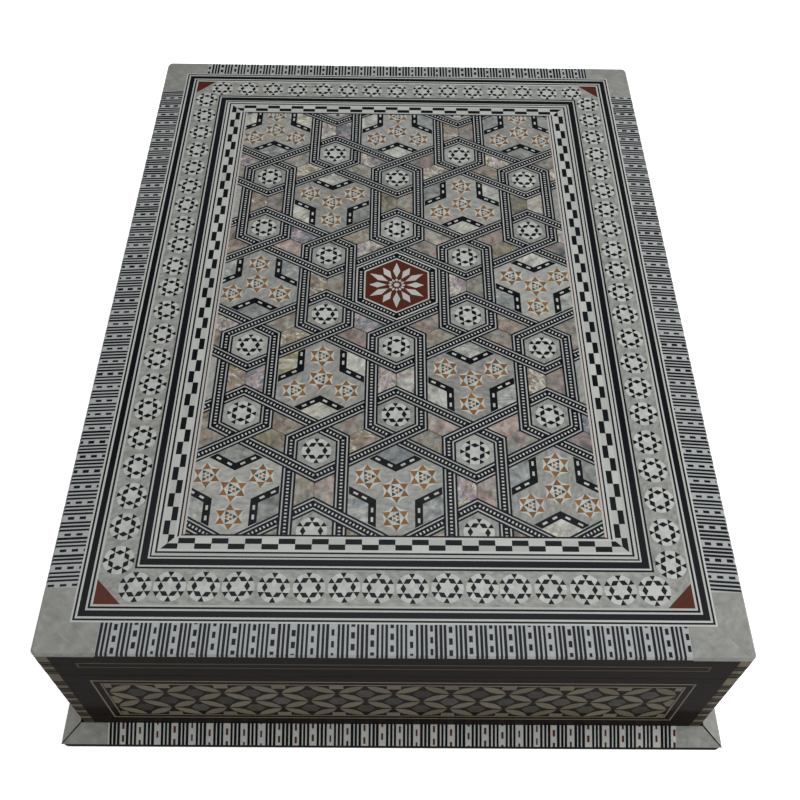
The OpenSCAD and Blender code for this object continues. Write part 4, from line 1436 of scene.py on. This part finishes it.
def build_floor():
    """A pale floor, just under the box."""
    half, drop, glow_share = 6.0, 0.0005, 0.55
    mesh = bpy.data.meshes.new("floor")
    corners = [(x, y, 0) for x, y in rectangle(-half, half, -half, half)]
    mesh.from_pydata(corners, [], [(0, 1, 2, 3)])
    placed("floor", mesh, (0, 0, -drop))
    made, tree, shader = start(
        "pale_floor", Roughness=1.0, Specular_IOR_Level=0.0, Emission_Color=(*WHITE, 1.0)
    )
    # The floor looks white all over but sends back only part of that light, as a grey table would
    table = linear("#848482")
    ramp = node(
        tree, "ShaderNodeValToRGB", links={"Fac": seen_ray(tree)}, stops=[(0.0, table), (1.0, WHITE)]
    )
    tree.links.new(ramp.outputs["Color"], shader.inputs["Base Color"])
    camera_ray = node(tree, "ShaderNodeLightPath").outputs["Is Camera Ray"]
    glow = node(tree, "ShaderNodeMath", {1: glow_share}, {0: camera_ray}, operation="MULTIPLY")
    tree.links.new(glow.outputs["Value"], shader.inputs["Emission Strength"])
    mesh.materials.append(made)


def build_backdrop():
    """Even light from all round, with a white backdrop for what is seen or mirrored."""
    world = bpy.data.worlds.new("studio")
    world.use_nodes = True
    sky = world.node_tree
    sky.nodes.clear()
    light = node(sky, "ShaderNodeBackground", {"Color": (*WHITE, 1.0), "Strength": 0.33})
    # The backdrop is white at the horizon and dark above it, with a broad pale screen overhead
    height = node(
        sky, "ShaderNodeSeparateXYZ", links={"Vector": node(sky, "ShaderNodeTexCoord").outputs["Generated"]}
    )
    sweep = node(
        sky, "ShaderNodeValToRGB", links={"Fac": height.outputs["Z"]},
        stops=[
            (0.2, WHITE), (0.55, linear("#4a4c50")), (0.8, linear("#383a3e")), (0.93, linear("#d8dde3")),
        ],
    )
    backdrop = node(sky, "ShaderNodeBackground", {"Strength": 1.0}, {"Color": sweep.outputs["Color"]})
    mixed = node(
        sky, "ShaderNodeMixShader",
        links={0: seen_ray(sky), 1: light.outputs["Background"], 2: backdrop.outputs["Background"]},
    )
    node(sky, "ShaderNodeOutputWorld", links={"Surface": mixed.outputs["Shader"]})
    bpy.context.scene.world = world


def build_lamps():
    """Soft light from above, and a broad soft box on the right that leaves the lid's left side dimmer."""
    overhead = bpy.data.lights.new("overhead", "SUN")
    overhead.energy = 0.88
    overhead.angle = math.radians(24)
    placed("overhead", overhead, (0, 0, 2))
    soft_box = bpy.data.lights.new("soft_box", "AREA")
    soft_box.energy = 4.2
    soft_box.size = 0.5
    beside = placed("soft_box", soft_box, (0.6, -0.16, 0.6))
    beside.rotation_euler = (-beside.location).to_track_quat("-Z", "Y").to_euler()


def build_camera():
    """The camera at the photograph's angle."""
    camera = bpy.data.cameras.new("camera")
    camera.lens = CAMERA_LENS
    camera.sensor_width = 36.0
    camera.clip_start = 0.01
    viewer = placed("camera", camera, CAMERA_AT)
    toward = (CAMERA_TO - CAMERA_AT).to_track_quat("-Z", "Y")
    viewer.rotation_euler = (toward.to_matrix() @ Matrix.Rotation(CAMERA_ROLL, 3, "Z")).to_euler()
    bpy.context.scene.camera = viewer


def build_stage():
    """Pale floor, soft studio light, and the camera."""
    bpy.context.scene.view_settings.view_transform = "Standard"
    build_floor()
    build_backdrop()
    build_lamps()
    build_camera()


# Operators, one for each group of pieces

class QURANBOX_OT_boards(bpy.types.Operator):
    """Finishes the boards, hinges and pearl corners"""

    bl_idname = "quran_box.boards"
    bl_label = "Boards and hinges"

    def execute(self, context):
        build_boards()
        return {"FINISHED"}


class QURANBOX_OT_stripe_borders(bpy.types.Operator):
    """Lays the striped veneer along the lid's edges"""

    bl_idname = "quran_box.stripe_borders"
    bl_label = "Stripe borders"

    def execute(self, context):
        build_stripe_borders()
        return {"FINISHED"}


class QURANBOX_OT_line_frames(bpy.types.Operator):
    """Lays the frames of black and white lines"""

    bl_idname = "quran_box.line_frames"
    bl_label = "Line frames"

    def execute(self, context):
        build_line_frames()
        return {"FINISHED"}


class QURANBOX_OT_star_border(bpy.types.Operator):
    """Lays the border of rosettes"""

    bl_idname = "quran_box.star_border"
    bl_label = "Star border"

    def execute(self, context):
        build_star_border()
        return {"FINISHED"}


class QURANBOX_OT_checker_border(bpy.types.Operator):
    """Lays the border of checkers"""

    bl_idname = "quran_box.checker_border"
    bl_label = "Checker border"

    def execute(self, context):
        build_checker_border()
        return {"FINISHED"}


class QURANBOX_OT_field(bpy.types.Operator):
    """Lays the interlaced field"""

    bl_idname = "quran_box.field"
    bl_label = "Field"

    def execute(self, context):
        build_field()
        return {"FINISHED"}


class QURANBOX_OT_medallion(bpy.types.Operator):
    """Lays the red medallion and its rosette"""

    bl_idname = "quran_box.medallion"
    bl_label = "Medallion"

    def execute(self, context):
        build_medallion()
        return {"FINISHED"}


class QURANBOX_OT_sides(bpy.types.Operator):
    """Lays the lines and lattices on the lid's and the body's sides"""

    bl_idname = "quran_box.sides"
    bl_label = "Sides"

    def execute(self, context):
        build_lid_sides()
        build_body_sides()
        return {"FINISHED"}


class QURANBOX_OT_corner_strips(bpy.types.Operator):
    """Lays the striped veneer on the upright corners"""

    bl_idname = "quran_box.corner_strips"
    bl_label = "Corner strips"

    def execute(self, context):
        build_corner_strips()
        return {"FINISHED"}


class QURANBOX_OT_plinth(bpy.types.Operator):
    """Lays the striped veneer and pearl on the plinth"""

    bl_idname = "quran_box.plinth"
    bl_label = "Plinth"

    def execute(self, context):
        build_plinth()
        return {"FINISHED"}


class QURANBOX_OT_linings(bpy.types.Operator):
    """Makes the velvet linings and the felt"""

    bl_idname = "quran_box.linings"
    bl_label = "Linings"

    def execute(self, context):
        build_linings()
        build_felt()
        return {"FINISHED"}


class QURANBOX_OT_stage(bpy.types.Operator):
    """Sets up the floor, light and camera"""

    bl_idname = "quran_box.stage"
    bl_label = "Stage"

    def execute(self, context):
        build_stage()
        return {"FINISHED"}


OPERATORS = (
    QURANBOX_OT_boards,
    QURANBOX_OT_stripe_borders,
    QURANBOX_OT_line_frames,
    QURANBOX_OT_star_border,
    QURANBOX_OT_checker_border,
    QURANBOX_OT_field,
    QURANBOX_OT_medallion,
    QURANBOX_OT_sides,
    QURANBOX_OT_corner_strips,
    QURANBOX_OT_plinth,
    QURANBOX_OT_linings,
    QURANBOX_OT_stage,
)


class QURANBOX_PT_panel(bpy.types.Panel):
    """Lists the sizes, colours and steps of the box"""

    bl_idname = "QURANBOX_PT_panel"
    bl_label = "Quran Box"
    bl_space_type = "VIEW_3D"
    bl_region_type = "UI"
    bl_category = "Quran Box"

    def draw(self, context):
        for group in (context.scene.quran_box_sizes, context.scene.quran_box_colours):
            column = self.layout.column()
            for name in type(group).__annotations__:
                column.prop(group, name)
        for operator in OPERATORS:
            self.layout.operator(operator.bl_idname)


CLASSES = (QuranBoxSizes, QuranBoxColours, *OPERATORS, QURANBOX_PT_panel)


def register():
    for cls in CLASSES:
        bpy.utils.register_class(cls)
    bpy.types.Scene.quran_box_sizes = bpy.props.PointerProperty(type=QuranBoxSizes)
    bpy.types.Scene.quran_box_colours = bpy.props.PointerProperty(type=QuranBoxColours)


def unregister():
    del bpy.types.Scene.quran_box_colours
    del bpy.types.Scene.quran_box_sizes
    for cls in reversed(CLASSES):
        bpy.utils.unregister_class(cls)


def main():
    register()
    for operator in OPERATORS:
        group, step = operator.bl_idname.split(".")
        getattr(getattr(bpy.ops, group), step)()


if __name__ == "__main__":
    main()
